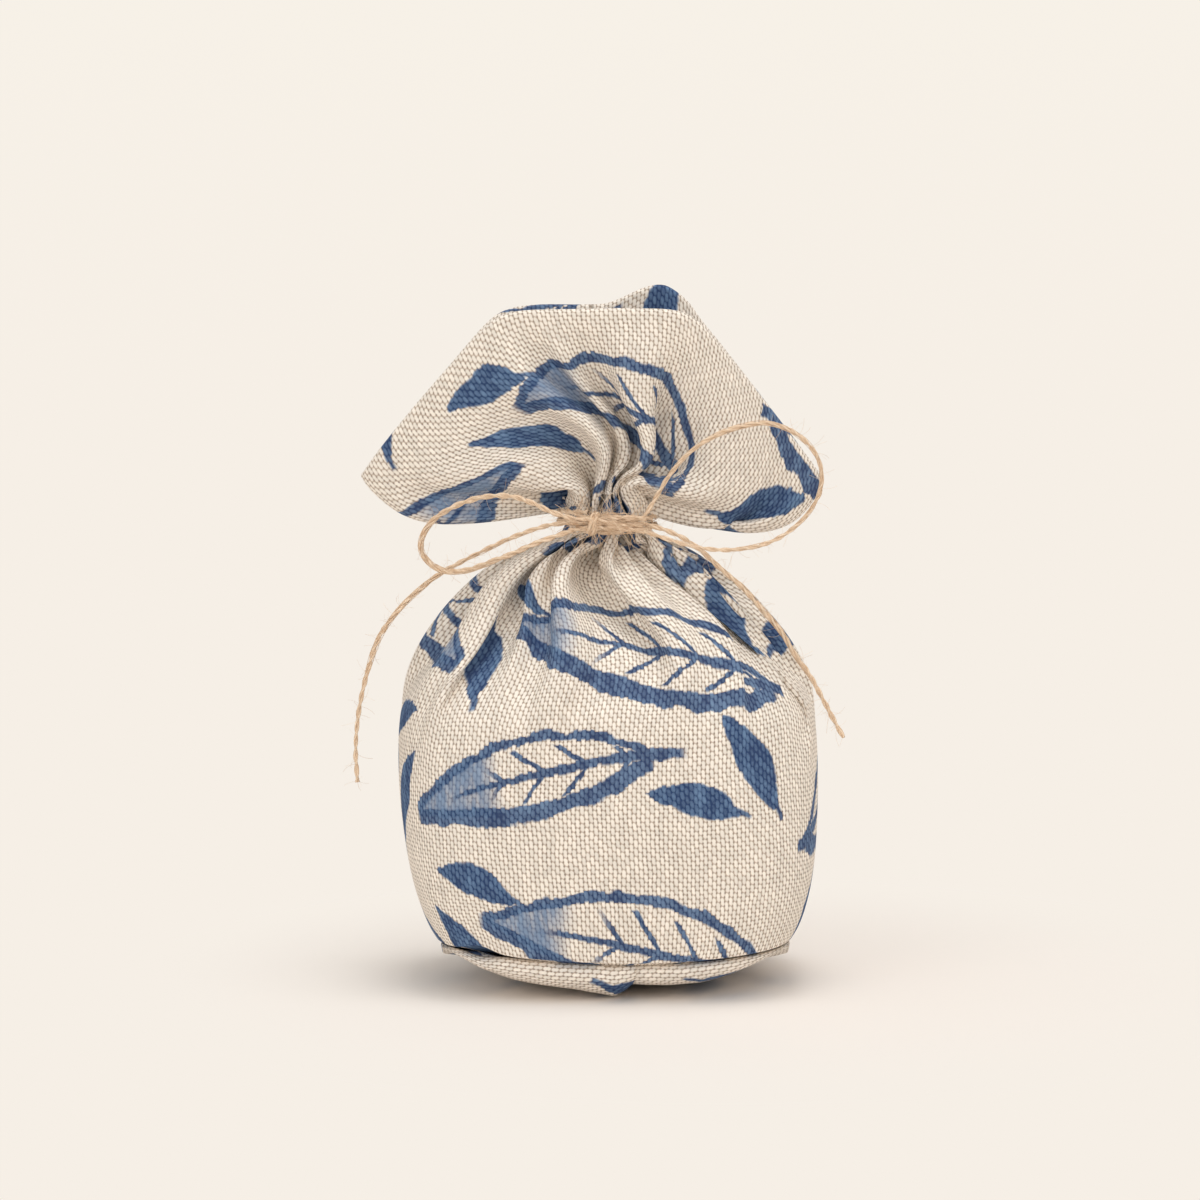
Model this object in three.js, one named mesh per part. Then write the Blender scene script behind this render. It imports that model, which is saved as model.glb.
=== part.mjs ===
// A small cloth pouch, filled, gathered at the neck and tied with jute twine in a bow.
// Millimetres, +Z up. The origin is on the floor, under the neck, and -Y is the front.
import * as THREE from 'three';

// The filled body
const BODY_WIDTH = 84.4; // side to side at its widest
const BODY_DEPTH = 62; // front to back at its widest
const GIRTH_HEIGHT = 48; // where it is widest
const BASE_WIDTH = 71.5; // at the fold where the walls turn under
const BASE_DEPTH = 57.5;
const CREASE_HEIGHT = 9.2; // of that fold above the floor
const BASE_SHIFT = 1.3; // the base stands this far to the right of the neck
const BASE_SAG = 5.6; // the underside hangs this far below the fold at its middle
const SAG_FLATNESS = 2.4; // the higher, the flatter the underside's middle
const BASE_SQUARENESS = 3.5; // of the base's outline: 2 is an ellipse, more is squarer
const NECK_SQUARENESS = 2.05;
const WALL_BULGE = 0.62; // below 1, the walls bulge soon above the base
const CLOTH = 1.2; // wall, with its turned-in seam
const FILL_GAP = 0.5; // between the filling and the wall
const FILL_TOP = 80; // the filling is level with this height
const HEAP_FOOT = 5; // the filling's lower edge is rounded over this height
const HEAP_CROWN = 2.5; // and its upper edge over this one

// The gathers: which way each valley faces, in degrees from the right side by the back, how far it wanders
// round on its way down the shoulder, and its depth as a share of the deepest
const GATHERS = [
  [-8, -1, 1], [27, -5, 0.85], [57, -5, 1], [97, 1, 0.8], [131, 0, 0.8], [159, 2, 1],
  [184, -1, 1], [217, -3, 0.85], [245, -4, 0.5], [281, -4, 0.6], [314, 5, 1],
];
const GATHER_START = 64; // the lowest height that a gather reaches
const GATHER_FULL = 80; // from here up the gathers are deepest
const GATHER_DEPTH = 6.2;
const GATHER_END = 85; // they grow shallower again from here to the rim, round which the collar turns
const RIM_SHARE = 0.14; // of their depth is left at the rim
const GATHER_SPREAD = 13.5; // degrees to each side of a valley's middle, over which it falls away
const WAIST_SHARE = 0.13; // the valleys' depth at the waist inside the twine, as a share of its radius

// The two side flaps folded under the base
const EDGE_ROUND = 0.8; // how far the folded edges bulge at the front and back
const FLAP_OVERLAP = 5; // the left flap ends this far right of the middle
const FLAP_TONGUE = 8; // the right flap runs on this far under the left one
const TONGUE_THICKNESS = 0.9;
const FLAP_INSET = 1.2; // from the body's fold to the flaps' outer ends
const FLAP_STEP = 3.5; // the right flap thickens from its tongue over this length
const TUCK_LENGTH = 4; // the left flap's top steps down to pass under the tongue over this length
const TUCK_CLEARANCE = 1; // and has done so this far before the tongue
const FLAP_CURL = 1.5; // the higher, the later the flaps' undersides rise towards the sides
const LEFT_RISE = 7.6; // of the left flap's underside at its outer end
const RIGHT_RISE = 7.4;
const FLAP_FLAT = 15; // the left flap lies on the floor for this far left of the middle
const RIGHT_FLAT = 21; // and the right flap for this far right of it
const RIGHT_EDGE_LIFT = 2.4; // how far the right flap's front and back edges stand off the floor
const SEAT = 0.3; // gap between pieces that touch

// The collar above the tie
const TIE_HEIGHT = 93; // middle of the twine, and the soft waist that the collar tips on
const NECK_RADIUS = 8.6; // the gathered cloth inside the twine
const TIP_BACK = 20; // degrees that the collar tips back about the tie, and forward until it meets the bow
const TIP_FORWARD = 8;
const CUP_HEIGHT = 9; // from the tie to the bottom of the collar's inside, where the gathers close it
const TOP_HEM = 41.5; // from the tie to the three straight runs of the mouth's edge
const LEFT_HEM = 43.5;
const RIGHT_HEM = 38.8;
const TOP_HEM_ANGLE = 0; // degrees from upright to each run's normal
const LEFT_HEM_ANGLE = -50;
const RIGHT_HEM_ANGLE = 52;
const HEM_ROUNDING = 12; // the higher, the sharper the corners between the runs
const BACK_PEAK = 4.5; // how far the back leaf stands over the front one
const BACK_PEAK_ANGLE = 12;
const BACK_PEAK_SPREAD = 23; // degrees to each side over which the peak falls away
const TIP_ANGLE = 80; // degrees from upright, of the side folds at the mouth
const WAIST_ANGLE = 70; // and at the waist
const TIP_DROOP = 22; // degrees more, where the side folds hang lowest
const WAIST_EASE = 0.6; // the leaves start this far inside the neck's radius
const DROOP_START = 0.24; // share of the collar's height from which its side folds droop
const MOUTH_GAP = 17.5; // front to back at the middle of the mouth
const LEAF_ROUNDNESS = 0.8; // of the leaves' cross-section: 1 is an ellipse, less is boxier
const COLLAR_WALL = 1.2;
const FRONT_FOLDS = [-78, -40, 1, 52]; // valleys that fan out from the tie, in degrees from upright
const BACK_FOLDS = [-74, -40, -8, 25, 64];
const FOLD_DEPTH = 4.4;
const FOLD_SPREAD = 17; // degrees to each side of a valley's middle, over which it falls away
const FACING_DEPTH = 20; // the cloth turned in at the mouth
const FACING_WALL = 0.8;
const FACING_GAP = 0.6; // between it and the collar's cloth

// The twine
const TWINE = 1.5; // diameter
const TURNS = 2; // round the neck
const TURN_GAP = 0.5; // between one turn and the next
const KNOT_LENGTH = 13.4;
const KNOT_HEIGHT = 5;
const KNOT_DEPTH = 5.2;
const WINDING_LEAVE = 34; // degrees from the front, where the turns' ends leave the circle
const WINDING_BEND = 1.6; // radius of the bend with which they turn forward into the knot
const KNOT_WRAPS = 3;
const WRAP_DEPTH = 0.13; // of the hollows between the knot's wraps, as a share of its thickness
const KNOT_BLUNTNESS = 0.3; // of the knot's ends: 1 is a spindle, less is a barrel
const TWINE_GAP = 0.6; // between the loops and the tails where they leave the knot
const LOOP_RISE = 1.1; // a loop's upper leg leaves the knot this far above its middle
const LOOP_FALL = 1.3; // and its lower leg this far below it

const turn = 2 * Math.PI;
const radians = (degrees) => (degrees * Math.PI) / 180;
const mix = THREE.MathUtils.lerp;
const ramp = THREE.MathUtils.smoothstep;
const power = (value, exponent) => Math.sign(value) * Math.abs(value) ** exponent;
const bump = (t) => (Math.abs(t) < 1 ? Math.cos((Math.PI / 2) * t) ** 2 : 0);

// The turns' places, which set the rim of the body just below them
const turnPitch = TWINE + TURN_GAP;
const windingRadius = NECK_RADIUS + SEAT + TWINE / 2;
const windingHalfHeight = (turnPitch * TURNS) / 2 + TWINE / 2;
const windingHalfAngle = Math.asin((windingHalfHeight + SEAT) / (NECK_RADIUS + SEAT));
const knotY = -(windingRadius + TWINE / 2 + SEAT + KNOT_DEPTH / 2);
const neckTop = TIE_HEIGHT - windingHalfHeight - SEAT;

// A closed surface through rings of points. A first and last ring of one point are poles. Without poles the
// last ring joins the first, unless both ends are zipped: there the ring's two sides are joined across.
function loft(rings, isZipped = false) {
  const points = [];
  const starts = rings.map((ring) => points.push(...ring) - ring.length);
  const faces = [];
  const first = rings[0];
  const last = rings.at(-1);
  const hasEnds = first.length === 1 || isZipped;
  const spans = hasEnds ? rings.length - 1 : rings.length;
  for (let r = 0; r < spans; r++) {
    const next = (r + 1) % rings.length;
    const count = Math.max(rings[r].length, rings[next].length);
    const corner = (ring, i) => starts[ring] + (i % rings[ring].length);
    for (let i = 0; i < count; i++) {
      const [a, b] = [corner(r, i), corner(r, i + 1)];
      const [c, d] = [corner(next, i), corner(next, i + 1)];
      if (a !== b) faces.push(a, b, d);
      if (c !== d) faces.push(a, d, c);
    }
  }
  if (isZipped) faces.push(...zip(starts[0], first.length, true), ...zip(starts.at(-1), last.length));
  const geometry = new THREE.BufferGeometry();
  geometry.setAttribute('position', new THREE.Float32BufferAttribute(points.flatMap((p) => p.toArray()), 3));
  geometry.setIndex(faces);
  geometry.computeVertexNormals();
  return geometry;
}

// Faces that join a ring's two sides across. Its first point and the one half-way round are the side points.
function zip(start, count, isReversed = false) {
  const faces = [];
  for (let i = 0; i < count / 2; i++) {
    const [a, b, c, d] = [i, i + 1, count - i - 1, (count - i) % count].map((k) => start + k);
    if (b !== c) faces.push(a, b, c);
    if (a !== d) faces.push(a, c, d);
  }
  return isReversed ? faces.reverse() : faces;
}

// How deep the cloth is gathered at an angle round the neck: 0 on a ridge, 1 in the deepest valleys.
// descent is how far down the shoulder a place is: 0 at the rim, 1 where the gathers start.
function valley(angle, descent = 0) {
  const valleyDepth = ([facing, wander, share]) => {
    const middle = radians(facing + wander * descent);
    const offset = Math.abs(Math.atan2(Math.sin(angle - middle), Math.cos(angle - middle)));
    return share * bump(offset / radians(GATHER_SPREAD));
  };
  return Math.max(...GATHERS.map(valleyDepth));
}

const descentAt = (z) => 1 - ramp(z, GATHER_START, neckTop);
const gatherAt = (z) => GATHER_DEPTH * ramp(z, GATHER_START, GATHER_FULL) *
  mix(1, RIM_SHARE, ramp(z, GATHER_END, neckTop));

// Half the body's size along one axis, from its crease over its widest part to the neck.
function halfSize(z, base, widest) {
  if (z <= GIRTH_HEIGHT) {
    const rise = Math.max(0, (z - CREASE_HEIGHT) / (GIRTH_HEIGHT - CREASE_HEIGHT));
    return mix(base, widest, Math.sin((Math.PI / 2) * rise ** WALL_BULGE)) / 2;
  }
  const climb = (z - GIRTH_HEIGHT) / (neckTop - GIRTH_HEIGHT);
  const neck = NECK_RADIUS + SEAT + CLOTH;
  return Math.sqrt(neck ** 2 + (widest ** 2 / 4 - neck ** 2) * (1 - climb ** 2));
}

const shiftAt = (z) => BASE_SHIFT * (1 - ramp(z, CREASE_HEIGHT, GIRTH_HEIGHT));

// A point of the body's wall at a height and an angle, inset from the outside. share brings it in to the
// axis, lift raises it, and depth is how deep the gathers are there.
function bodyPoint(z, angle, inset, share = 1, lift = 0, depth = gatherAt(z) * valley(angle, descentAt(z))) {
  const climb = ramp(z, CREASE_HEIGHT, neckTop);
  const squareness = 2 / mix(BASE_SQUARENESS, NECK_SQUARENESS, climb);
  const across = halfSize(z, BASE_WIDTH, BODY_WIDTH) - inset - depth;
  const along = halfSize(z, BASE_DEPTH, BODY_DEPTH) - inset - depth;
  const x = shiftAt(z) + share * across * power(Math.cos(angle), squareness);
  return new THREE.Vector3(x, share * along * power(Math.sin(angle), squareness), z + lift);
}

const ringOf = (count, point) => Array.from({ length: count }, (_, i) => point((turn * i) / count));

// Height of the body's underside at a share of the way from the middle to the fold.
const undersideAt = (share) => -BASE_SAG * (1 - share ** SAG_FLATNESS);

// The body's rings: round the wall, and on the underside as shares of the way out from its middle
const BODY_SIDES = 80;
const WALL_RINGS = 15;
const RING_CROWDING = 0.8; // below 1, the rings lie closer together towards the neck
const UNDERSIDE_SHARES = [0.34, 0.62, 0.84];
const wallHeights = Array.from({ length: WALL_RINGS }, (_, i) =>
  mix(CREASE_HEIGHT, neckTop, (i / (WALL_RINGS - 1)) ** RING_CROWDING));

// A ring of the underside, raised by its inset.
const undersideRing = (sides, share, inset) => ringOf(sides, (angle) =>
  bodyPoint(CREASE_HEIGHT, angle, inset, share, undersideAt(share) + inset));

// The body's cloth: walls, shoulder and folded-in underside, open at the neck.
function bodyCloth() {
  const skin = (inset) => [
    [new THREE.Vector3(BASE_SHIFT, 0, CREASE_HEIGHT + undersideAt(0) + inset)],
    ...UNDERSIDE_SHARES.map((share) => undersideRing(BODY_SIDES, share, inset)),
    ...wallHeights.map((z) => ringOf(BODY_SIDES, (angle) => {
      const lift = z === CREASE_HEIGHT ? inset : 0;
      return bodyPoint(z, angle, inset, 1, lift);
    })),
  ];
  return loft([...skin(0), ...skin(CLOTH).reverse()]);
}

// The heap's rings: on its floor and its rounded edges as shares of the way out from its middle
const HEAP_SIDES = BODY_SIDES / 2;
const HEAP_FLOOR_SHARES = [0.5, 0.8];
const HEAP_FOOT_SHARE = 0.93;
const HEAP_SHOULDER_SHARE = 0.86;
const HEAP_CROWN_SHARE = 0.45;

// What the pouch holds: loose grain in one rounded heap, clear of the deepest gathers.
function filling() {
  const inset = CLOTH + FILL_GAP;
  const heap = (z, share) => ringOf(HEAP_SIDES, (angle) => bodyPoint(z, angle, inset, share, 0, gatherAt(z)));
  const isWall = (z) => z > CREASE_HEIGHT + HEAP_FOOT / 2 && z < FILL_TOP - 1.5 * HEAP_CROWN;
  return loft([
    [new THREE.Vector3(BASE_SHIFT, 0, CREASE_HEIGHT + undersideAt(0) + inset)],
    ...HEAP_FLOOR_SHARES.map((share) => undersideRing(HEAP_SIDES, share, inset)),
    heap(CREASE_HEIGHT + inset, HEAP_FOOT_SHARE),
    ...wallHeights.filter(isWall).map((z) => heap(z, 1)),
    heap(FILL_TOP - HEAP_CROWN, HEAP_SHOULDER_SHARE),
    heap(FILL_TOP - HEAP_CROWN / 3, HEAP_CROWN_SHARE),
    [new THREE.Vector3(0, 0, FILL_TOP)],
  ]);
}

// How far across the base a place is: 0 in the middle and 1 at the fold.
function acrossBase(x, y) {
  const alongX = Math.abs((x - BASE_SHIFT) / (BASE_WIDTH / 2));
  const alongY = Math.abs(y / (BASE_DEPTH / 2));
  return (alongX ** BASE_SQUARENESS + alongY ** BASE_SQUARENESS) ** (1 / BASE_SQUARENESS);
}
const underBody = (x, y) => CREASE_HEIGHT + undersideAt(Math.min(1, acrossBase(x, y))) - SEAT;

const FLAP_STATIONS = 16;
const FLAP_COLUMNS = 9;

// A flap between two heights, over a stretch of x. Its front and back edges are round.
function flap(fromX, toX, topAt, bottomAt) {
  const edge = BASE_DEPTH / 2 - EDGE_ROUND;
  const rings = Array.from({ length: FLAP_STATIONS }, (_, i) => {
    const x = mix(fromX, toX, i / (FLAP_STATIONS - 1));
    const alongX = Math.abs((x - BASE_SHIFT) / (BASE_WIDTH / 2));
    const half = edge * Math.max(0, 1 - alongX ** BASE_SQUARENESS) ** (1 / BASE_SQUARENESS);
    const place = (k) => half * Math.sin((Math.PI / 2) * (1 - (2 * k) / (FLAP_COLUMNS - 1)));
    const columns = Array.from({ length: FLAP_COLUMNS }, (_, k) => place(k));
    const top = columns.map((y) => new THREE.Vector3(x, y, topAt(x, y)));
    const bottom = top.map((p) => {
      const z = Math.min(bottomAt(x, p.y), p.z - TONGUE_THICKNESS);
      return new THREE.Vector3(x, p.y, z);
    });
    const side = (k, bulge) => {
      const middle = top.at(k).clone().lerp(bottom.at(k), 0.5);
      return middle.setY(middle.y + bulge);
    };
    return [side(0, EDGE_ROUND), ...top, side(-1, -EDGE_ROUND), ...bottom.reverse()];
  });
  return loft(rings, true);
}

// The left side's cloth, folded under from the left. The pouch stands mostly on it.
function leftFlap() {
  const outer = BASE_SHIFT - BASE_WIDTH / 2 + FLAP_INSET;
  const tongueStart = FLAP_OVERLAP - FLAP_TONGUE;
  const tuckEnd = tongueStart - TUCK_CLEARANCE;
  const tuck = (x) => (TONGUE_THICKNESS + SEAT) * ramp(x, tuckEnd - TUCK_LENGTH, tuckEnd);
  const top = (x, y) => underBody(x, y) - tuck(x);
  const bottom = (x) => LEFT_RISE * Math.max(0, (-FLAP_FLAT - x) / (-FLAP_FLAT - outer)) ** FLAP_CURL;
  return flap(outer, FLAP_OVERLAP, top, bottom);
}

// The right side's cloth, folded under first, with a tongue that the left flap covers.
function rightFlap() {
  const start = FLAP_OVERLAP - FLAP_TONGUE;
  const outer = BASE_SHIFT + BASE_WIDTH / 2 - FLAP_INSET;
  const clear = FLAP_OVERLAP + SEAT;
  const bottom = (x, y) => {
    const tongue = underBody(x, y) - TONGUE_THICKNESS;
    const rise = RIGHT_RISE * Math.max(0, (x - RIGHT_FLAT) / (outer - RIGHT_FLAT)) ** FLAP_CURL;
    const lift = RIGHT_EDGE_LIFT * Math.abs(y / (BASE_DEPTH / 2)) ** 3;
    return mix(tongue, rise + lift, ramp(x, clear, clear + FLAP_STEP));
  };
  return flap(start, outer, underBody, bottom);
}

// Shares of the collar's height: between the first two the round waist opens into the fan, by the next the
// leaves' valleys are deepest, and from the last they fade to the mouth. Inside, the side folds lie this many
// walls further in.
const FLARE_START = 0.06;
const FLARE_END = 0.34;
const FOLD_START = 0.2;
const FOLD_FULL = 0.4;
const FOLD_FADE = 0.56;
const FOLD_INSET = 1.6;

// How far the mouth's edge is from the tie, at an angle from upright: three straight runs with round corners.
function hemReach(lean, isBack) {
  const runs = [[TOP_HEM, TOP_HEM_ANGLE], [LEFT_HEM, LEFT_HEM_ANGLE], [RIGHT_HEM, RIGHT_HEM_ANGLE]];
  const nearness = runs.map(([far, angle]) => Math.max(0, Math.cos(lean - radians(angle))) / far);
  const reach = nearness.reduce((sum, near) => sum + near ** HEM_ROUNDING, 0) ** (-1 / HEM_ROUNDING);
  const peak = Math.exp(-(((lean - radians(BACK_PEAK_ANGLE)) / radians(BACK_PEAK_SPREAD)) ** 2));
  return reach + BACK_PEAK * peak * isBack;
}

// The collar, in polar places round the tie: a fan that is flattened front to back.
// round runs once about it: 0 is the right side fold, a quarter turn the back, half the left side fold.
function collarPoint(share, round, inset) {
  const side = Math.cos(round);
  const face = power(Math.sin(round), LEAF_ROUNDNESS);
  const hang = Math.sin(Math.PI * Math.max(0, (share - DROOP_START) / (1 - DROOP_START)) ** 0.7);
  const fold = radians(mix(WAIST_ANGLE, TIP_ANGLE, share) + TIP_DROOP * hang);
  const narrowing = (FOLD_INSET * inset) / (TOP_HEM * Math.max(share, FLARE_START));
  const lean = (fold - narrowing * side ** 4) * side;
  const reach = share * hemReach(lean, ramp(Math.sin(round), 0, LEAF_ROUNDNESS));
  const gap = mix(NECK_RADIUS - WAIST_EASE, MOUTH_GAP / 2, share) - inset;
  const folds = face > 0 ? BACK_FOLDS : FRONT_FOLDS;
  const closeness = folds.map((middle) => bump((lean - radians(middle)) / radians(FOLD_SPREAD)));
  const depth = FOLD_DEPTH * ramp(share, FOLD_START, FOLD_FULL) * (1 - ramp(share, FOLD_FADE, 1));
  const valleyDepth = depth * Math.max(...closeness);
  const y = (gap - valleyDepth) * face;
  return new THREE.Vector3(reach * Math.sin(lean), y, TIE_HEIGHT + reach * Math.cos(lean));
}

// The round waist is part of a ball, so that it stays clear of the turns when the collar tips.
// It reaches as far above the tie as the turns come round it, and the gathers only cut into it.
function waistPoint(share, round) {
  const tip = radians(Math.sin(round) > 0 ? TIP_BACK : TIP_FORWARD) * Math.abs(Math.sin(round));
  const angle = share * (windingHalfAngle + tip);
  const radius = NECK_RADIUS * Math.cos(angle) * (1 - WAIST_SHARE * valley(round));
  const height = TIE_HEIGHT + NECK_RADIUS * Math.sin(angle);
  return new THREE.Vector3(radius * Math.cos(round), radius * Math.sin(round), height);
}

const COLLAR_SIDES = 84;

function collarRing(share, inset) {
  return ringOf(COLLAR_SIDES, (round) => {
    const fan = collarPoint(share, round, inset);
    return waistPoint(1, round).lerp(fan, ramp(share, FLARE_START, FLARE_END));
  });
}

// Shares of the collar's height, from the waist up to the facing and over the facing to the mouth
const WAIST_SHARES = [0.14, 0.2, 0.27, 0.35, 0.43];
const FACING_SHARES = [0, 1, 2, 3, 4].map((k) => mix(1 - FACING_DEPTH / TOP_HEM, 1, k / 4));

// The collar's cloth above the tie: a round gathered waist that opens into a flat fan.
function collarCloth() {
  const axis = (height) => [new THREE.Vector3(0, 0, TIE_HEIGHT + height)];
  const outside = [
    axis(-NECK_RADIUS * Math.sin(windingHalfAngle)),
    ...[-1, -0.5, 0, 0.5, 1].map((share) => ringOf(COLLAR_SIDES, (round) => waistPoint(share, round))),
    ...[...WAIST_SHARES, ...FACING_SHARES].map((share) => collarRing(share, 0)),
  ];
  const inside = [
    axis(CUP_HEIGHT),
    ...[WAIST_SHARES[3], WAIST_SHARES[4], ...FACING_SHARES].map((share) => collarRing(share, COLLAR_WALL)),
  ];
  return loft([...outside, ...inside.reverse()]);
}

// The cloth that is turned in at the mouth and lies against the collar's inside.
function collarFacing() {
  const outer = COLLAR_WALL + FACING_GAP;
  const ring = (share, inset) => ringOf(COLLAR_SIDES, (round) => collarPoint(share, round, inset));
  return loft([
    ...FACING_SHARES.map((share) => ring(share, outer)),
    ...FACING_SHARES.map((share) => ring(share, outer + FACING_WALL)).reverse(),
  ]);
}

// Sides of a tube: fewer on the winding, whose tight turns need more steps
const TWINE_SIDES = 8;
const WINDING_SIDES = 6;
const STEPS_PER_TURN = 36;

// A tube of twine along a curve.
function twineTube(curve, steps, sides = TWINE_SIDES) {
  const corner = (i) => new THREE.Vector2(Math.cos((turn * i) / sides), Math.sin((turn * i) / sides));
  const corners = Array.from({ length: sides }, (_, i) => corner(i).multiplyScalar(TWINE / 2));
  const section = new THREE.Shape(corners);
  return new THREE.ExtrudeGeometry(section, { steps, extrudePath: curve, bevelEnabled: false });
}

function route(points) {
  return new THREE.CatmullRomCurve3(points.map((place) => new THREE.Vector3(...place)), false, 'centripetal');
}

// The knot's thickness along its length, as a share: a barrel with hollows between its wraps.
function knotProfile(along) {
  const hollow = 0.5 - 0.5 * Math.cos(turn * KNOT_WRAPS * along);
  return Math.sin(Math.PI * along) ** KNOT_BLUNTNESS * (1 - WRAP_DEPTH * hollow);
}

// The turns round the neck: one unbroken helix, whose two ends bend forward into the back of the knot.
class Winding extends THREE.Curve {
  constructor() {
    super();
    this.leave = radians(WINDING_LEAVE);
    this.around = windingRadius * (TURNS * turn - 2 * this.leave);
    this.bend = WINDING_BEND * (Math.PI / 2 - this.leave);
    const endX = windingRadius * Math.sin(this.leave) - WINDING_BEND * (1 - Math.sin(this.leave));
    const bendY = -(windingRadius + WINDING_BEND) * Math.cos(this.leave);
    const knotBack = knotY + (KNOT_DEPTH / 2) * knotProfile(0.5 - endX / KNOT_LENGTH);
    this.straight = bendY - knotBack - SEAT;
    this.total = this.around + 2 * (this.bend + this.straight);
  }

  // A place on the upper half, from the winding's middle behind the knot to its left end.
  upperHalf(distance, target) {
    const along = Math.min(distance, this.around / 2);
    const angle = -Math.PI / 2 + along / windingRadius;
    const rise = (turnPitch * along) / (turn * windingRadius);
    target.set(windingRadius * Math.cos(angle), windingRadius * Math.sin(angle), rise);
    const past = distance - along;
    const heading = this.leave + Math.min(past, this.bend) / WINDING_BEND;
    target.x += WINDING_BEND * (Math.sin(heading) - Math.sin(this.leave));
    target.y -= WINDING_BEND * (Math.cos(this.leave) - Math.cos(heading)) + Math.max(0, past - this.bend);
    return target;
  }

  getPoint(t, target = new THREE.Vector3()) {
    const distance = (t - 0.5) * this.total;
    this.upperHalf(Math.abs(distance), target);
    if (distance < 0) target.set(-target.x, target.y, -target.z);
    target.z += TIE_HEIGHT;
    return target;
  }
}

// The least gap between stretches of the winding that lie a few diameters apart along it.
function leastGap(curve, count = 600) {
  const points = curve.getPoints(count);
  const skip = Math.ceil((4 * TWINE * count) / curve.total);
  let least = Infinity;
  points.forEach((a, i) => points.slice(i + skip).forEach((b) => {
    least = Math.min(least, a.distanceTo(b) - TWINE);
  }));
  return least;
}

function neckWindings() {
  const curve = new Winding();
  console.log('winding: least gap to itself ' + leastGap(curve).toFixed(2) + ' mm');
  return twineTube(curve, STEPS_PER_TURN * TURNS, WINDING_SIDES);
}

// The knot: a barrel of wrapped twine across the front of the turns, with a waist between its wraps.
function bowKnot() {
  const stations = 25;
  const profile = Array.from({ length: stations }, (_, i) => {
    const along = i / (stations - 1);
    return new THREE.Vector2(i % (stations - 1) ? knotProfile(along) : 0, (along - 0.5) * KNOT_LENGTH);
  });
  const barrel = new THREE.LatheGeometry(profile, 20);
  barrel.rotateZ(-Math.PI / 2);
  barrel.scale(1, KNOT_DEPTH / 2, KNOT_HEIGHT / 2);
  barrel.translate(0, knotY, TIE_HEIGHT);
  return barrel;
}

// Steps along each free stretch, one every two diameters
const LEFT_LOOP_STEPS = 48;
const RIGHT_LOOP_STEPS = 64;
const LEFT_TAIL_STEPS = 36;
const RIGHT_TAIL_STEPS = 32;

// Where the free twine leaves the knot: just off its two ends, the loops in front of the tails.
const knotEnd = KNOT_LENGTH / 2 + SEAT;
const loopY = knotY - TWINE / 2 - TWINE_GAP / 2;
const tailY = knotY + TWINE / 2 + TWINE_GAP / 2;

const leftLoop = () => twineTube(route([
  [-knotEnd, loopY, TIE_HEIGHT + LOOP_RISE], [-10.5, loopY - 0.4, 95.2],
  [-15, loopY - 1, 97.3], [-19, loopY - 1.6, 98.6],
  [-23.5, loopY - 2.2, 98.6], [-28.4, loopY - 2.8, 97.4],
  [-33.3, loopY - 3.3, 94.8], [-36, loopY - 3.6, 91.5],
  [-36.5, loopY - 3.8, 88.4], [-35, loopY - 3.8, 85.8],
  [-32.2, loopY - 3.7, 84.2], [-27.7, loopY - 3.4, 84.2],
  [-23.8, loopY - 3, 85.5], [-18.5, loopY - 2.4, 87.5],
  [-12.6, loopY - 1.4, 89.9], [-knotEnd, loopY, TIE_HEIGHT - LOOP_FALL],
]), LEFT_LOOP_STEPS);

const rightLoop = () => twineTube(route([
  [knotEnd, loopY, TIE_HEIGHT + LOOP_RISE], [9.3, loopY - 0.4, 98],
  [12.6, loopY - 1, 103.4], [16.9, loopY - 1.6, 107.9],
  [21.8, loopY - 1.9, 110.9], [26.3, loopY - 2, 112.4], [31.2, loopY - 2, 113], [35.7, loopY - 2, 111.6],
  [39.4, loopY - 2, 108.7], [41.6, loopY - 2, 104.7], [41.8, loopY - 2, 100.4], [39.8, loopY - 2, 96],
  [36.7, loopY - 2, 92.6], [31.8, loopY - 2, 89.6], [26.3, loopY - 2, 88.3], [21.5, loopY - 1.8, 88.1],
  [17, loopY - 1.4, 88.7], [11.5, loopY - 0.8, 90.2], [knotEnd, loopY, TIE_HEIGHT - LOOP_FALL],
]), RIGHT_LOOP_STEPS);

const leftTail = () => twineTube(route([
  [-knotEnd, tailY, TIE_HEIGHT], [-11, tailY + 0.1, 92.7], [-15, tailY - 0.1, 91.6], [-19, tailY - 0.5, 90.2],
  [-24, tailY - 1.1, 87.9], [-28.6, tailY - 1.7, 85.6], [-33, tailY - 2.4, 83.2], [-37.4, tailY - 3, 79.8],
  [-41.1, tailY - 3.3, 76.2], [-44.7, tailY - 3.5, 71.2],
  [-47.7, tailY - 3.3, 62.4], [-49.3, tailY - 3, 54.2],
  [-49.7, tailY - 2.8, 48.2], [-49.4, tailY - 2.6, 41.9],
]), LEFT_TAIL_STEPS);

const rightTail = () => twineTube(route([
  [knotEnd, tailY, TIE_HEIGHT], [11, tailY - 0.1, 91.8], [15, tailY - 0.2, 90], [18.6, tailY - 0.3, 87.4],
  [21.6, tailY - 0.5, 84.6], [24.8, tailY - 0.8, 81.9], [27.8, tailY - 1.1, 79], [30.3, tailY - 1.3, 76.2],
  [34.1, tailY - 1.6, 71.8], [37.4, tailY - 1.8, 66.5], [39.8, tailY - 1.9, 63.2], [41.8, tailY - 2, 59.6],
  [44, tailY - 2, 55.4], [46.6, tailY - 1.9, 50.7],
]), RIGHT_TAIL_STEPS);

const cloth = new THREE.MeshStandardMaterial({ color: 0xdccbb6, roughness: 0.92, metalness: 0 });
const facingCloth = new THREE.MeshStandardMaterial({ color: 0xcdbba4, roughness: 0.94, metalness: 0 });
const grain = new THREE.MeshStandardMaterial({ color: 0xb99b6c, roughness: 0.85, metalness: 0 });
const jute = new THREE.MeshStandardMaterial({ color: 0xc79f72, roughness: 0.9, metalness: 0 });

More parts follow.
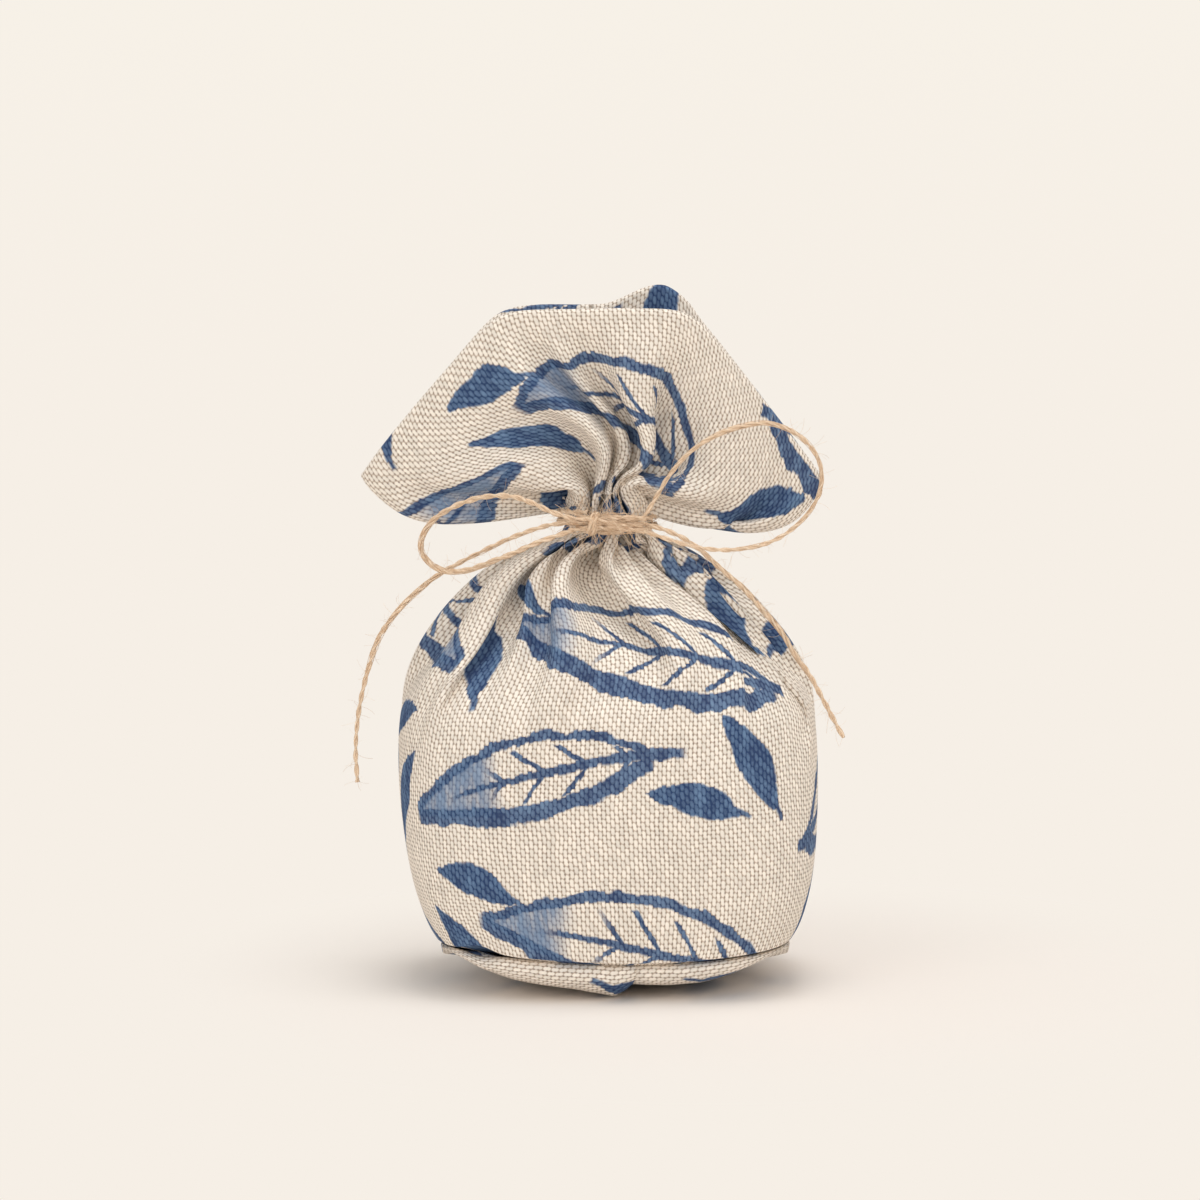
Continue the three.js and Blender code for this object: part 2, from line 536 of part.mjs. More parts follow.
const pouch = new THREE.Group();
const add = (name, geometry, material) => {
  const mesh = new THREE.Mesh(geometry, material);
  mesh.name = name;
  pouch.add(mesh);
};

add('body_cloth', bodyCloth(), cloth);
add('base_flap_left', leftFlap(), cloth);
add('base_flap_right', rightFlap(), cloth);
add('filling', filling(), grain);
add('collar_cloth', collarCloth(), cloth);
add('collar_facing', collarFacing(), facingCloth);
add('neck_windings', neckWindings(), jute);
add('bow_knot', bowKnot(), jute);
add('bow_loop_left', leftLoop(), jute);
add('bow_loop_right', rightLoop(), jute);
add('twine_tail_left', leftTail(), jute);
add('twine_tail_right', rightTail(), jute);

export default pouch;
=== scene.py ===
"""Looks of a small filled linen pouch, tied with jute twine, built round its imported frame.

Metres, +Z up. The origin is on the floor under the neck, and -Y is the front.
"""

from __future__ import annotations

import logging
import math
from collections.abc import Sequence
from dataclasses import dataclass, field
from enum import Enum

import bpy
import numpy as np
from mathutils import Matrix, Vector


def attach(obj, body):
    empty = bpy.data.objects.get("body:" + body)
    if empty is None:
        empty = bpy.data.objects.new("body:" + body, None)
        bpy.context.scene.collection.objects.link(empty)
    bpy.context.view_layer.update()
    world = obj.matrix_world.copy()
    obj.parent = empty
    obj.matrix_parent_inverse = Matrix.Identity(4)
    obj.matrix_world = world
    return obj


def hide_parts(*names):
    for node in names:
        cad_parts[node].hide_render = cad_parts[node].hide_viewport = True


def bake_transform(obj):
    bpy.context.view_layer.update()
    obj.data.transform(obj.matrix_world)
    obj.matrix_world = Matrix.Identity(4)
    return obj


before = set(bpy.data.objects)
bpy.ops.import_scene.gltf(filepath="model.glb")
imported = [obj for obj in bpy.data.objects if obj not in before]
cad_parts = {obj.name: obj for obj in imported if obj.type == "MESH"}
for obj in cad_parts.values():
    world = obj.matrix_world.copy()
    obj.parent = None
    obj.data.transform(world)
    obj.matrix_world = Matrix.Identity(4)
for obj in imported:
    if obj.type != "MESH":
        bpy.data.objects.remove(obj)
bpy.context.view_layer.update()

log = logging.getLogger("pouch")
MM = 0.001
TURN = 2 * math.pi
UV_UNIT = 100 * MM
TINY = 1e-12
Point = tuple[float, float, float]
Colour = tuple[float, float, float, float]


class Body(Enum):
    """The moving bodies of the frame."""

    POUCH = "pouch"
    COLLAR = "collar"
    LOOP_LEFT = "loop_left"
    LOOP_RIGHT = "loop_right"
    TAIL_LEFT = "tail_left"
    TAIL_RIGHT = "tail_right"


class Slot(Enum):
    """The material slots of the record."""

    PRINTED_CLOTH = "printed_cloth"
    CLOTH_BACK = "cloth_back"
    GRAIN = "grain"
    JUTE = "jute"


def ramp(value: np.ndarray | float, low: float, high: float) -> np.ndarray | float:
    """A smooth step.

    Args:
        value: where it is looked at.
        low: where it leaves 0.
        high: where it reaches 1.
    Returns:
        The step's height there.
    """
    share = np.clip((value - low) / (high - low), 0.0, 1.0)
    return share * share * (3.0 - 2.0 * share)


def srgb(red: float, green: float, blue: float) -> Colour:
    """A linear colour from screen values between 0 and 255.

    Args:
        red, green, blue: screen values.
    Returns:
        The linear colour with an alpha of 1.
    """
    def linear(value: float) -> float:
        """One channel."""
        share = value / 255.0
        return share / 12.92 if share <= 0.04045 else ((share + 0.055) / 1.055) ** 2.4

    return linear(red), linear(green), linear(blue), 1.0


def mesh_object(name: str, points: np.ndarray, faces: Sequence[Sequence[int]]) -> bpy.types.Object:
    """A smooth-shaded mesh object at the origin.

    Args:
        name: the object's name.
        points: its vertices, in metres.
        faces: vertex numbers of each face.
    Returns:
        The new object, linked to the scene.
    """
    mesh = bpy.data.meshes.new(name)
    mesh.from_pydata([tuple(map(float, p)) for p in points], [], [tuple(map(int, f)) for f in faces])
    mesh.polygons.foreach_set("use_smooth", [True] * len(mesh.polygons))
    mesh.update()
    made = bpy.data.objects.new(name, mesh)
    bpy.context.scene.collection.objects.link(made)
    return made


def set_uv(piece: bpy.types.Object, uv: np.ndarray, name: str = "cloth") -> None:
    """Gives a mesh a UV map from one place for each vertex of each face.

    Args:
        piece: the mesh object.
        uv: an array of loops by 2.
        name: of the map.
    """
    layer = piece.data.uv_layers.new(name=name)
    layer.data.foreach_set("uv", np.asarray(uv, dtype=np.float32).ravel())


def give_frame(piece: bpy.types.Object, slot: Slot, body: Body | None, *nodes: str) -> None:
    """Hangs a piece on its body's empty, or bakes its transform where it has none, and hides the frame's
    nodes that it stands for.

    Args:
        piece: the mesh object.
        slot: its material slot; not used.
        body: the body that it rides on, or None where it is blended between two.
        nodes: the frame's nodes that it stands for.
    """
    if body is None:
        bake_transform(piece)
    else:
        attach(piece, body.value)
    if nodes:
        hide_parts(*nodes)


# Lines and rings


def distances(line: np.ndarray) -> np.ndarray:
    """How far along a line each of its places is."""
    return np.concatenate([[0.0], np.cumsum(np.linalg.norm(np.diff(line, axis=0), axis=1))])


def places_at(
    wanted: np.ndarray, along: np.ndarray, line: np.ndarray, period: float | None = None,
) -> np.ndarray:
    """Places on a line at wanted distances.

    Args:
        wanted: the distances.
        along: how far along the line each of its own places is.
        line: its places.
        period: the length of a line that is closed.
    Returns:
        The places.
    """
    return np.stack([np.interp(wanted, along, one, period=period) for one in line.T], axis=1)


def ring_faces(rows: int, columns: int) -> np.ndarray:
    """The faces between the rings of a grid.

    Args:
        rows: the number of rings.
        columns: places in each.
    Returns:
        Four vertex numbers for each face.
    """
    index = np.arange(rows * columns).reshape(rows, columns)
    ahead = np.roll(index, -1, axis=1)
    return np.stack([index[:-1], ahead[:-1], ahead[1:], index[1:]], axis=-1).reshape(-1, 4)


def ring_corners(rows: int, columns: int) -> tuple[np.ndarray, np.ndarray]:
    """The row and the column of each corner of those faces.

    Args:
        rows: the number of rings.
        columns: places in each.
    Returns:
        The rows, and the columns, which run on past the last where a face closes the ring.
    """
    r, c = np.meshgrid(np.arange(rows - 1), np.arange(columns), indexing="ij")
    row = np.stack([r, r, r + 1, r + 1], axis=-1)
    column = np.stack([c, c + 1, c + 1, c], axis=-1)
    return row.reshape(-1), column.reshape(-1)


def closed_form(rings: np.ndarray, first: Point, last: Point) -> tuple[np.ndarray, np.ndarray, np.ndarray]:
    """A closed form from rings, with a place beyond each end where its faces meet.

    Args:
        rings: places, rings by turns by 3.
        first: the place before the first ring.
        last: the place after the last ring.
    Returns:
        Its places, its faces of four corners and those of three.
    """
    rows, turns, _ = rings.shape
    here = np.arange(turns)
    ahead = np.roll(here, -1)
    top = (rows - 1) * turns
    pole = np.full(turns, rows * turns)
    start = np.stack([ahead, here, pole], axis=1)
    end = np.stack([here + top, ahead + top, pole + 1], axis=1)
    return np.vstack([rings.reshape(-1, 3), first, last]), ring_faces(rows, turns), np.vstack([start, end])


# Shader maths


class Wire:
    """A node's output that takes part in Python expressions."""

    def __init__(self, shader: Shader, socket: bpy.types.NodeSocket) -> None:
        """Keeps the socket and the shader that it belongs to."""
        self.shader = shader
        self.socket = socket

    def math(self, operation: str, *others: Wire | float, clamp: bool = False) -> Wire:
        """A Math node on this value and others."""
        settings = {"operation": operation, "use_clamp": clamp}
        return self.shader.node("ShaderNodeMath", settings, [self, *others])

    def __add__(self, other: Wire | float) -> Wire:
        """self + other."""
        return self.math("ADD", other)

    __radd__ = __add__

    def __sub__(self, other: Wire | float) -> Wire:
        """self - other."""
        return self.math("SUBTRACT", other)

    def __rsub__(self, other: float) -> Wire:
        """other - self."""
        return (self * -1.0) + other

    def __mul__(self, other: Wire | float) -> Wire:
        """self * other."""
        return self.math("MULTIPLY", other)

    __rmul__ = __mul__

    def __truediv__(self, other: Wire | float) -> Wire:
        """self / other."""
        return self.math("DIVIDE", other)

    def __pow__(self, other: Wire | float) -> Wire:
        """self to a power."""
        return self.math("POWER", other)

    def __abs__(self) -> Wire:
        """The size of this value."""
        return self.math("ABSOLUTE")

    def sin(self) -> Wire:
        """The sine."""
        return self.math("SINE")

    def cos(self) -> Wire:
        """The cosine."""
        return self.math("COSINE")

    def floor(self) -> Wire:
        """The whole number below."""
        return self.math("FLOOR")

    def odd(self) -> Wire:
        """1 for an odd whole number, 0 for an even one."""
        return self - (self / 2.0).floor() * 2.0

    def sqrt(self) -> Wire:
        """The square root of this value, or 0 below 0."""
        return self.math("MAXIMUM", 0.0).math("SQRT")

    def least(self, other: Wire | float) -> Wire:
        """The smaller of two values."""
        return self.math("MINIMUM", other)

    def most(self, other: Wire | float) -> Wire:
        """The larger of two values."""
        return self.math("MAXIMUM", other)

    def step(self, low: float, high: float) -> Wire:
        """A smooth step.

        Args:
            low: where it leaves 0.
            high: where it reaches 1; below low, the step runs down.
        Returns:
            The step's height at this value.
        """
        if high < low:
            return 1.0 - self.step(high, low)
        values = {"Value": self, "From Min": low, "From Max": high}
        return self.shader.node("ShaderNodeMapRange", {"interpolation_type": "SMOOTHSTEP"}, values)


class Shader:
    """A material's node tree, with one method that adds any node."""

    def __init__(self, name: str, owner: bpy.types.World | None = None) -> None:
        """Starts an empty material, or a world's empty tree.

        Args:
            name: of the material.
            owner: the world, where it is one.
        """
        self.material = owner or bpy.data.materials.new(name)
        self.material.use_nodes = True
        self.tree = self.material.node_tree
        self.tree.nodes.clear()

    def node(
        self,
        kind: str,
        settings: dict[str, object] | None = None,
        values: Sequence[object] | dict[str, object] | None = None,
        output: int | str | None = 0,
    ) -> Wire | None:
        """Adds a node.

        Args:
            kind: the node's type.
            settings: its properties, set before its sockets.
            values: a number, colour or Wire for each socket, in order or by name.
            output: which output to give back, if any.
        Returns:
            The output as a Wire.
        """
        made = self.tree.nodes.new(kind)
        for name, value in (settings or {}).items():
            setattr(made, name, value)
        pairs = values.items() if isinstance(values, dict) else enumerate(values or ())
        for key, value in pairs:
            if isinstance(value, Wire):
                self.tree.links.new(value.socket, made.inputs[key])
            elif value is not None:
                made.inputs[key].default_value = value
        return None if output is None else Wire(self, made.outputs[output])

    def mix(self, factor: Wire | float, first: object, second: object, blend: str = "MIX") -> Wire:
        """A Mix node on two colours."""
        settings = {"data_type": "RGBA", "blend_type": blend}
        return self.node("ShaderNodeMix", settings, {0: factor, 6: first, 7: second}, output=2)

    def noise(self, vector: Wire, scale: float, detail: float = 2.0, roughness: float = 0.5) -> Wire:
        """Noise between 0 and 1 at a place."""
        values = {"Vector": vector, "Scale": scale, "Detail": detail, "Roughness": roughness}
        return self.node("ShaderNodeTexNoise", None, values)

    def vector(self, x: Wire | float, y: Wire | float, z: Wire | float = 0.0) -> Wire:
        """A vector from three numbers."""
        return self.node("ShaderNodeCombineXYZ", None, [x, y, z])

    def split(self, vector: Wire) -> tuple[Wire, Wire, Wire]:
        """A vector's three numbers."""
        outputs = self.node("ShaderNodeSeparateXYZ", None, [vector]).socket.node.outputs
        return tuple(Wire(self, outputs[i]) for i in range(3))

    def bump(self, strength: float, distance: float, height: Wire) -> Wire:
        """A normal that follows a height."""
        values = {"Strength": strength, "Distance": distance, "Height": height}
        return self.node("ShaderNodeBump", None, values)

    def finish(self, colour: Wire, roughness: float, gloss: float, normal: Wire) -> bpy.types.Material:
        """Adds the surface shader and the output.

        Args:
            colour: of the surface.
            roughness: from 0, a mirror, to 1.
            gloss: how strongly it mirrors.
            normal: from its relief.
        Returns:
            The material.
        """
        values = {"Base Color": colour, "Roughness": roughness, "Specular IOR Level": gloss, "Normal": normal}
        self.close(self.node("ShaderNodeBsdfPrincipled", None, values))
        return self.material

    def close(self, surface: Wire, kind: str = "ShaderNodeOutputMaterial") -> None:
        """Adds the output of a material or a world."""
        self.node(kind, None, {"Surface": surface}, output=None)


# The studio


@dataclass(frozen=True)
class Camera:
    """The camera at the photograph's angle: a long lens a little above the pouch's middle."""

    aim: Point = (-0.0015, 0.0, 0.0765)
    distance: float = 0.9
    elevation: float = math.radians(6)
    lens: float = 135.0
    sensor: float = 36.0
    near: float = 0.05
    far: float = 20.0

    def build(self) -> None:
        """Makes the camera and hands it to the scene."""
        data = bpy.data.cameras.new("camera")
        data.lens = self.lens
        data.sensor_width = self.sensor
        data.clip_start = self.near
        data.clip_end = self.far
        made = bpy.data.objects.new("camera", data)
        back = Vector((0.0, -math.cos(self.elevation), math.sin(self.elevation)))
        made.location = Vector(self.aim) + self.distance * back
        made.rotation_euler = (math.pi / 2 - self.elevation, 0.0, 0.0)
        bpy.context.scene.collection.objects.link(made)
        bpy.context.scene.camera = made


@dataclass(frozen=True)
class Lamp:
    """A soft area lamp."""

    name: str
    place: Point
    size: float
    power: float
    colour: Point

    def build(self, aim: Point) -> None:
        """Makes the lamp.

        Args:
            aim: the point that it faces.
        """
        data = bpy.data.lights.new(self.name, "AREA")
        data.shape = "DISK"
        data.size = self.size
        data.energy = self.power
        data.color = self.colour
        made = bpy.data.objects.new(self.name, data)
        made.location = self.place
        facing = Vector(aim) - Vector(self.place)
        made.rotation_euler = facing.to_track_quat("-Z", "Y").to_euler()
        bpy.context.scene.collection.objects.link(made)


@dataclass
class Studio:
    """A pale floor that runs up into a backdrop, under soft lamps."""

    floor_colour: Colour = srgb(245, 238, 231)
    low_colour: Colour = srgb(246, 239, 230)
    high_colour: Colour = srgb(248, 243, 233)
    world_colour: Colour = srgb(252, 251, 249)
    lit_place: float = 0.02
    lit_radius: float = 0.035
    even_radius: float = 0.12
    reach: float = 3.0
    backdrop_distance: float = 1.6
    backdrop_bend: float = 0.6
    backdrop_height: float = 3.0
    bend_steps: int = 12
    world_strength: float = 0.475
    aim: Point = (0.0, 0.0, 0.06)
    lamps: tuple[Lamp, ...] = (
        Lamp("key", (0.75, -0.85, 1.25), 2.0, 9.5, (1.0, 0.99, 0.985)),
        Lamp("fill", (-1.0, -1.3, 0.5), 1.2, 6.2, (1.0, 0.995, 0.99)),
        Lamp("top", (0.1, 0.0, 1.5), 0.6, 6.5, (1.0, 0.995, 0.99)),
    )

    def build(self) -> None:
        """Makes the floor, the lamps and the world."""
        self.sweep()
        for lamp in self.lamps:
            lamp.build(self.aim)
        self.world()

    def sweep(self) -> None:
        """The floor and backdrop as one curved sheet."""
        bend_start = self.backdrop_distance - self.backdrop_bend
        profile = [(-self.reach, 0.0), (bend_start, 0.0)]
        for i in range(1, self.bend_steps + 1):
            angle = math.pi / 2 * i / self.bend_steps
            y = bend_start + self.backdrop_bend * math.sin(angle)
            profile.append((y, self.backdrop_bend * (1 - math.cos(angle))))
        profile.append((self.backdrop_distance, self.backdrop_height))
        points = [(x, y, z) for y, z in profile for x in (-self.reach, self.reach)]
        faces = [(2 * i, 2 * i + 1, 2 * i + 3, 2 * i + 2) for i in range(len(profile) - 1)]
        sheet = mesh_object("floor", np.array(points), faces)
        sheet.data.materials.append(self.paper())

    def paper(self) -> bpy.types.Material:
        """Pale paper that keeps the shadow near the pouch, and looks even further away.

        Returns:
            The material.
        """
        shader = Shader("paper")
        values = {"Base Color": self.floor_colour, "Roughness": 0.95, "Specular IOR Level": 0.1}
        lit = shader.node("ShaderNodeBsdfPrincipled", None, values)
        x, y, z = shader.split(shader.node("ShaderNodeTexCoord", output="Object"))
        even = shader.mix(z.step(0.0, 0.5), self.low_colour, self.high_colour)
        glow = shader.node("ShaderNodeEmission", None, {"Color": even, "Strength": 1.0})
        x = x - self.lit_place
        far = (x * x + y * y + z * z).sqrt().step(self.lit_radius, self.even_radius)
        shader.close(shader.node("ShaderNodeMixShader", None, [far * self.seen(shader), lit, glow]))
        return shader.material

    @staticmethod
    def seen(shader: Shader) -> Wire:
        """Whether a ray shows the backdrop, straight or in a shiny or clear piece.

        Args:
            shader: the material or world that asks.
        Returns:
            1 where it does, 0 where the ray only lights.
        """
        total = shader.node("ShaderNodeLightPath", output="Is Camera Ray")
        for kind in ("Is Glossy Ray", "Is Transmission Ray"):
            total = total + shader.node("ShaderNodeLightPath", output=kind)
        return total.least(1.0)

    def world(self) -> None:
        """An even pale light from all round, which looks like the backdrop."""
        world = bpy.data.worlds.new("world")
        bpy.context.scene.world = world
        shader = Shader("world", world)
        values = {"Color": self.world_colour, "Strength": self.world_strength}
        light = shader.node("ShaderNodeBackground", None, values)
        look = shader.node("ShaderNodeBackground", None, {"Color": self.high_colour, "Strength": 1.0})
        mixed = shader.node("ShaderNodeMixShader", None, [self.seen(shader), light, look])
        shader.close(mixed, "ShaderNodeOutputWorld")


# The cloth


@dataclass(frozen=True)
class Tube:
    """The pouch's cloth before it is filled: a tube, cut to this size."""

    girth: float = 246 * MM
    tie: float = 93 * MM
    mouth: float = 138 * MM
    facing: float = 18 * MM


@dataclass(frozen=True)
class Filled:
    """The outer form of the filled body, as the frame has it."""

    width: float = 84.4 * MM
    depth: float = 62 * MM
    girth_height: float = 48 * MM
    base_width: float = 71.5 * MM
    base_depth: float = 57.5 * MM
    crease: float = 9.2 * MM
    base_shift: float = 1.3 * MM
    neck: float = 10.1 * MM
    neck_top: float = 89.95 * MM
    tie: float = 93 * MM
    tie_radius: float = 8.5 * MM
    fold_hang: float = 1.0 * MM
    fold_rise: float = 2.0 * MM
    arch_rise: float = 1.2 * MM
    arch_place: float = -25 * MM
    arch_width: float = 3.2 * MM
    fold_middle: float = 4 * MM
    fold_half: float = 32 * MM
    base_squareness: float = 3.5
    neck_squareness: float = 2.05
    wall_bulge: float = 0.62
    least_half: float = 0.1 * MM

    def shift(self, z: np.ndarray) -> np.ndarray:
        """How far right the middle lies at a height."""
        return self.base_shift * (1 - ramp(z, self.crease, self.girth_height))

    def half(self, z: np.ndarray, base: float, widest: float) -> np.ndarray:
        """Half the size along one axis at a height.

        Args:
            z: heights.
            base: the size at the fold at the base.
            widest: the size at the girth.
        Returns:
            The half sizes.
        """
        rise = np.clip((z - self.crease) / (self.girth_height - self.crease), 0.0, 1.0)
        low = (base + (widest - base) * np.sin(math.pi / 2 * rise ** self.wall_bulge)) / 2
        climb = np.clip((z - self.girth_height) / (self.neck_top - self.girth_height), 0.0, 1.0)
        high = np.sqrt(self.neck ** 2 + (widest ** 2 / 4 - self.neck ** 2) * (1 - climb ** 2))
        return np.where(z <= self.girth_height, low, high)

    def arch(self, x: np.ndarray | float) -> np.ndarray | float:
        """How fully the fold is pinched up at a place across."""
        return np.exp(-(((x - self.arch_place) / self.arch_width) ** 2))

    def fold_lift(self, x: np.ndarray | float) -> np.ndarray | float:
        """How far the base fold lies above its mean height: a smile, with a pinched arch at the left.

        Args:
            x: places across.
        Returns:
            The heights.
        """
        aside = np.clip(np.abs(x - self.fold_middle) / self.fold_half, 0.0, 1.0)
        return self.fold_rise * aside ** 1.6 - self.fold_hang + self.arch_rise * self.arch(x)

    def squareness(self, z: np.ndarray) -> np.ndarray:
        """The exponent of the outline at a height: 2 is an ellipse, more is squarer."""
        climb = ramp(z, self.crease, self.neck_top)
        return self.base_squareness + (self.neck_squareness - self.base_squareness) * climb

    def outline(self, z: float, count: int) -> np.ndarray:
        """Places round the body at a height, from the back's middle by the left side.

        Args:
            z: the height.
            count: of the places.
        Returns:
            An array of count by 3.
        """
        angle = np.linspace(0, TURN, count, endpoint=False)
        height = np.array(z)
        power = 2 / self.squareness(height)
        side, face = (np.sign(w) * np.abs(w) ** power for w in (-np.sin(angle), np.cos(angle)))
        x = side * self.half(height, self.base_width, self.width) + self.shift(height)
        y = face * self.half(height, self.base_depth, self.depth)
        return np.stack([x, y, np.full(count, z)], axis=1)

    def distance(self, points: np.ndarray, inset: np.ndarray) -> np.ndarray:
        """How far out a place is, as a share of the form's own reach there.

        Args:
            points: places, with their coordinates along the last axis.
            inset: how much smaller the form is at each.
        Returns:
            Below 1 inside the form, above 1 outside it.
        """
        z = points[..., 2]
        power = self.squareness(z)
        half_width = np.maximum(self.half(z, self.base_width, self.width) - inset, self.least_half)
        half_depth = np.maximum(self.half(z, self.base_depth, self.depth) - inset, self.least_half)
        across = np.abs(points[..., 0] - self.shift(z)) / half_width
        along = np.abs(points[..., 1]) / half_depth
        return (across ** power + along ** power + TINY) ** (1 / power)


@dataclass(frozen=True)
class Fan:
    """The open collar above the tie: a fan flattened front to back, as the frame has it."""

    top: float = 41.5 * MM
    left: float = 43.5 * MM
    right: float = 38.8 * MM
    left_angle: float = math.radians(-50)
    right_angle: float = math.radians(52)
    rounding: float = 34.0
    waist_angle: float = math.radians(70)
    tip_angle: float = math.radians(80)
    left_droop: float = math.radians(23)
    right_droop: float = math.radians(27)
    gap: float = 17.5 * MM
    back_peak: float = 5.2 * MM
    peak_angle: float = math.radians(13)
    peak_spread: float = 0.21
    flatness: float = 0.8
    droop_start: float = 0.24
    open_start: float = 0.04
    open_end: float = 0.34

    def reach(self, lean: np.ndarray, back: np.ndarray) -> np.ndarray:
        """How far the mouth is from the tie.

        Args:
            lean: angles from upright.
            back: 1 on the back leaf, 0 on the front one.
        Returns:
            The distances.
        """
        near = np.zeros_like(lean)
        for far, angle in ((self.top, 0.0), (self.left, self.left_angle), (self.right, self.right_angle)):
            near += (np.clip(np.cos(lean - angle), 0.0, None) / far) ** self.rounding
        peak = np.clip(1 - np.abs(lean - self.peak_angle) / self.peak_spread, 0.0, 1.0)
        return near ** (-1 / self.rounding) + self.back_peak * peak * back

    def outline(self, share: float, neck: float, count: int) -> np.ndarray:
        """Places round the collar, from the back's middle by the left side.

        Args:
            share: 0 at the tie, 1 at the mouth.
            neck: the radius at the tie.
            count: of the places.
        Returns:
            An array of count by 3, from the tie's middle.
        """
        angle = np.linspace(0, TURN, count, endpoint=False)
        side = -np.sin(angle)
        face = np.sign(np.cos(angle)) * np.abs(np.cos(angle)) ** self.flatness
        hang = math.sin(math.pi * max(0.0, (share - self.droop_start) / (1 - self.droop_start)) ** 0.7)
        droop = np.where(side < 0, self.left_droop, self.right_droop)
        fold = self.waist_angle + (self.tip_angle - self.waist_angle) * share + droop * hang
        lean = fold * side
        reach = share * self.reach(lean, ramp(face, 0.0, 0.8))
        gap = neck + (self.gap / 2 - neck) * share
        fan = np.stack([reach * np.sin(lean), gap * face, reach * np.cos(lean)], axis=1)
        ring = np.stack([neck * side, neck * np.cos(angle), np.full(count, share * self.top)], axis=1)
        return ring + (fan - ring) * float(ramp(share, self.open_start, self.open_end))


@dataclass(frozen=True)
class Gather:
    """One valley between two folds at the tie.

    Its place and its drifts are shares of the girth; body and collar say how far it reaches in each.
    """

    place: float
    body: float
    collar: float
    body_drift: float = 0.0
    collar_drift: float = 0.0


def outward(points: np.ndarray) -> np.ndarray:
    """The outward direction at each place of a grid.

    Args:
        points: the grid's places.
    Returns:
        The directions, as long as 1.
    """
    around = np.roll(points, -1, 1) - np.roll(points, 1, 1)
    upward = np.empty_like(points)
    upward[1:-1] = points[2:] - points[:-2]
    upward[0] = points[1] - points[0]
    upward[-1] = points[-1] - points[-2]
    out = np.cross(around, upward)
    return out / (np.linalg.norm(out, axis=-1, keepdims=True) + TINY)


def smoothed(directions: np.ndarray, times: int) -> np.ndarray:
    """Evens out a grid of directions.

    Args:
        directions: the grid.
        times: how often each is evened out with its neighbours.
    Returns:
        The new directions, as long as 1.
    """
    for _ in range(times):
        wide = np.roll(directions, 1, 1) + np.roll(directions, -1, 1) + 2 * directions
        padded = np.concatenate([wide[:1], wide, wide[-1:]])
        directions = padded[:-2] + padded[2:] + 2 * wide
        directions /= np.linalg.norm(directions, axis=-1, keepdims=True) + TINY
    return directions


class Layers:
    """Finds places of the cloth that come close though they are far apart along it, and parts them."""

    cells_across: int = 4096
    neighbours: int = 3
    push_share: float = 0.35
    look_share: float = 1.5

    def __init__(self, columns: int, gap: float) -> None:
        """Starts with no pair.

        Args:
            columns: of the grid.
            gap: the least distance between layers.
        """
        self.columns = columns
        self.gap = gap
        self.first = np.zeros(0, dtype=int)
        self.second = np.zeros(0, dtype=int)

    def find(self, points: np.ndarray) -> None:
        """Lists the pairs that are close to each other.

        Args:
            points: the grid's places.
        """
        flat = points.reshape(-1, 3)
        reach = self.look_share * self.gap
        cell = np.floor((flat - flat.min(axis=0)) / reach).astype(np.int64) + 1
        stride = np.array([1, self.cells_across, self.cells_across ** 2], dtype=np.int64)
        key = cell @ stride
        order = np.argsort(key, kind="stable")
        ranked = key[order]
        firsts, seconds = [], []
        near_cells = [(x, y, z) for x in (-1, 0, 1) for y in (-1, 0, 1) for z in (-1, 0, 1)]
        for step in (cell for cell in near_cells if cell[::-1] >= (0, 0, 0)):
            wanted = ranked + np.array(step) @ stride
            low = np.searchsorted(ranked, wanted, "left")
            high = np.searchsorted(ranked, wanted, "right")
            count = high - low
            a = np.repeat(np.arange(len(ranked)), count)
            b = np.arange(count.sum()) - np.repeat(np.cumsum(count) - count, count) + np.repeat(low, count)
            keep = a < b if step == (0, 0, 0) else np.ones(len(a), dtype=bool)
            firsts.append(order[a[keep]])
            seconds.append(order[b[keep]])
        first, second = np.concatenate(firsts), np.concatenate(seconds)
        rise = np.abs(first // self.columns - second // self.columns)
        turn = np.abs(first % self.columns - second % self.columns)
        turn = np.minimum(turn, self.columns - turn)
        near = np.linalg.norm(flat[first] - flat[second], axis=1) < reach
        keep = near & (np.maximum(rise, turn) > self.neighbours)
        self.first, self.second = first[keep], second[keep]

    def part(self, points: np.ndarray) -> None:
        """Pushes the listed pairs apart to the gap.

        Args:
            points: the grid's places, which are moved.
        """
        flat = points.reshape(-1, 3)
        away = flat[self.second] - flat[self.first]
        length = np.linalg.norm(away, axis=1) + 1e-9
        share = np.where(length < self.gap, self.push_share * (self.gap - length) / length, 0.0)
        push = share[:, None] * away
        for k in range(3):
            flat[:, k] -= np.bincount(self.first, push[:, k], len(flat))
            flat[:, k] += np.bincount(self.second, push[:, k], len(flat))


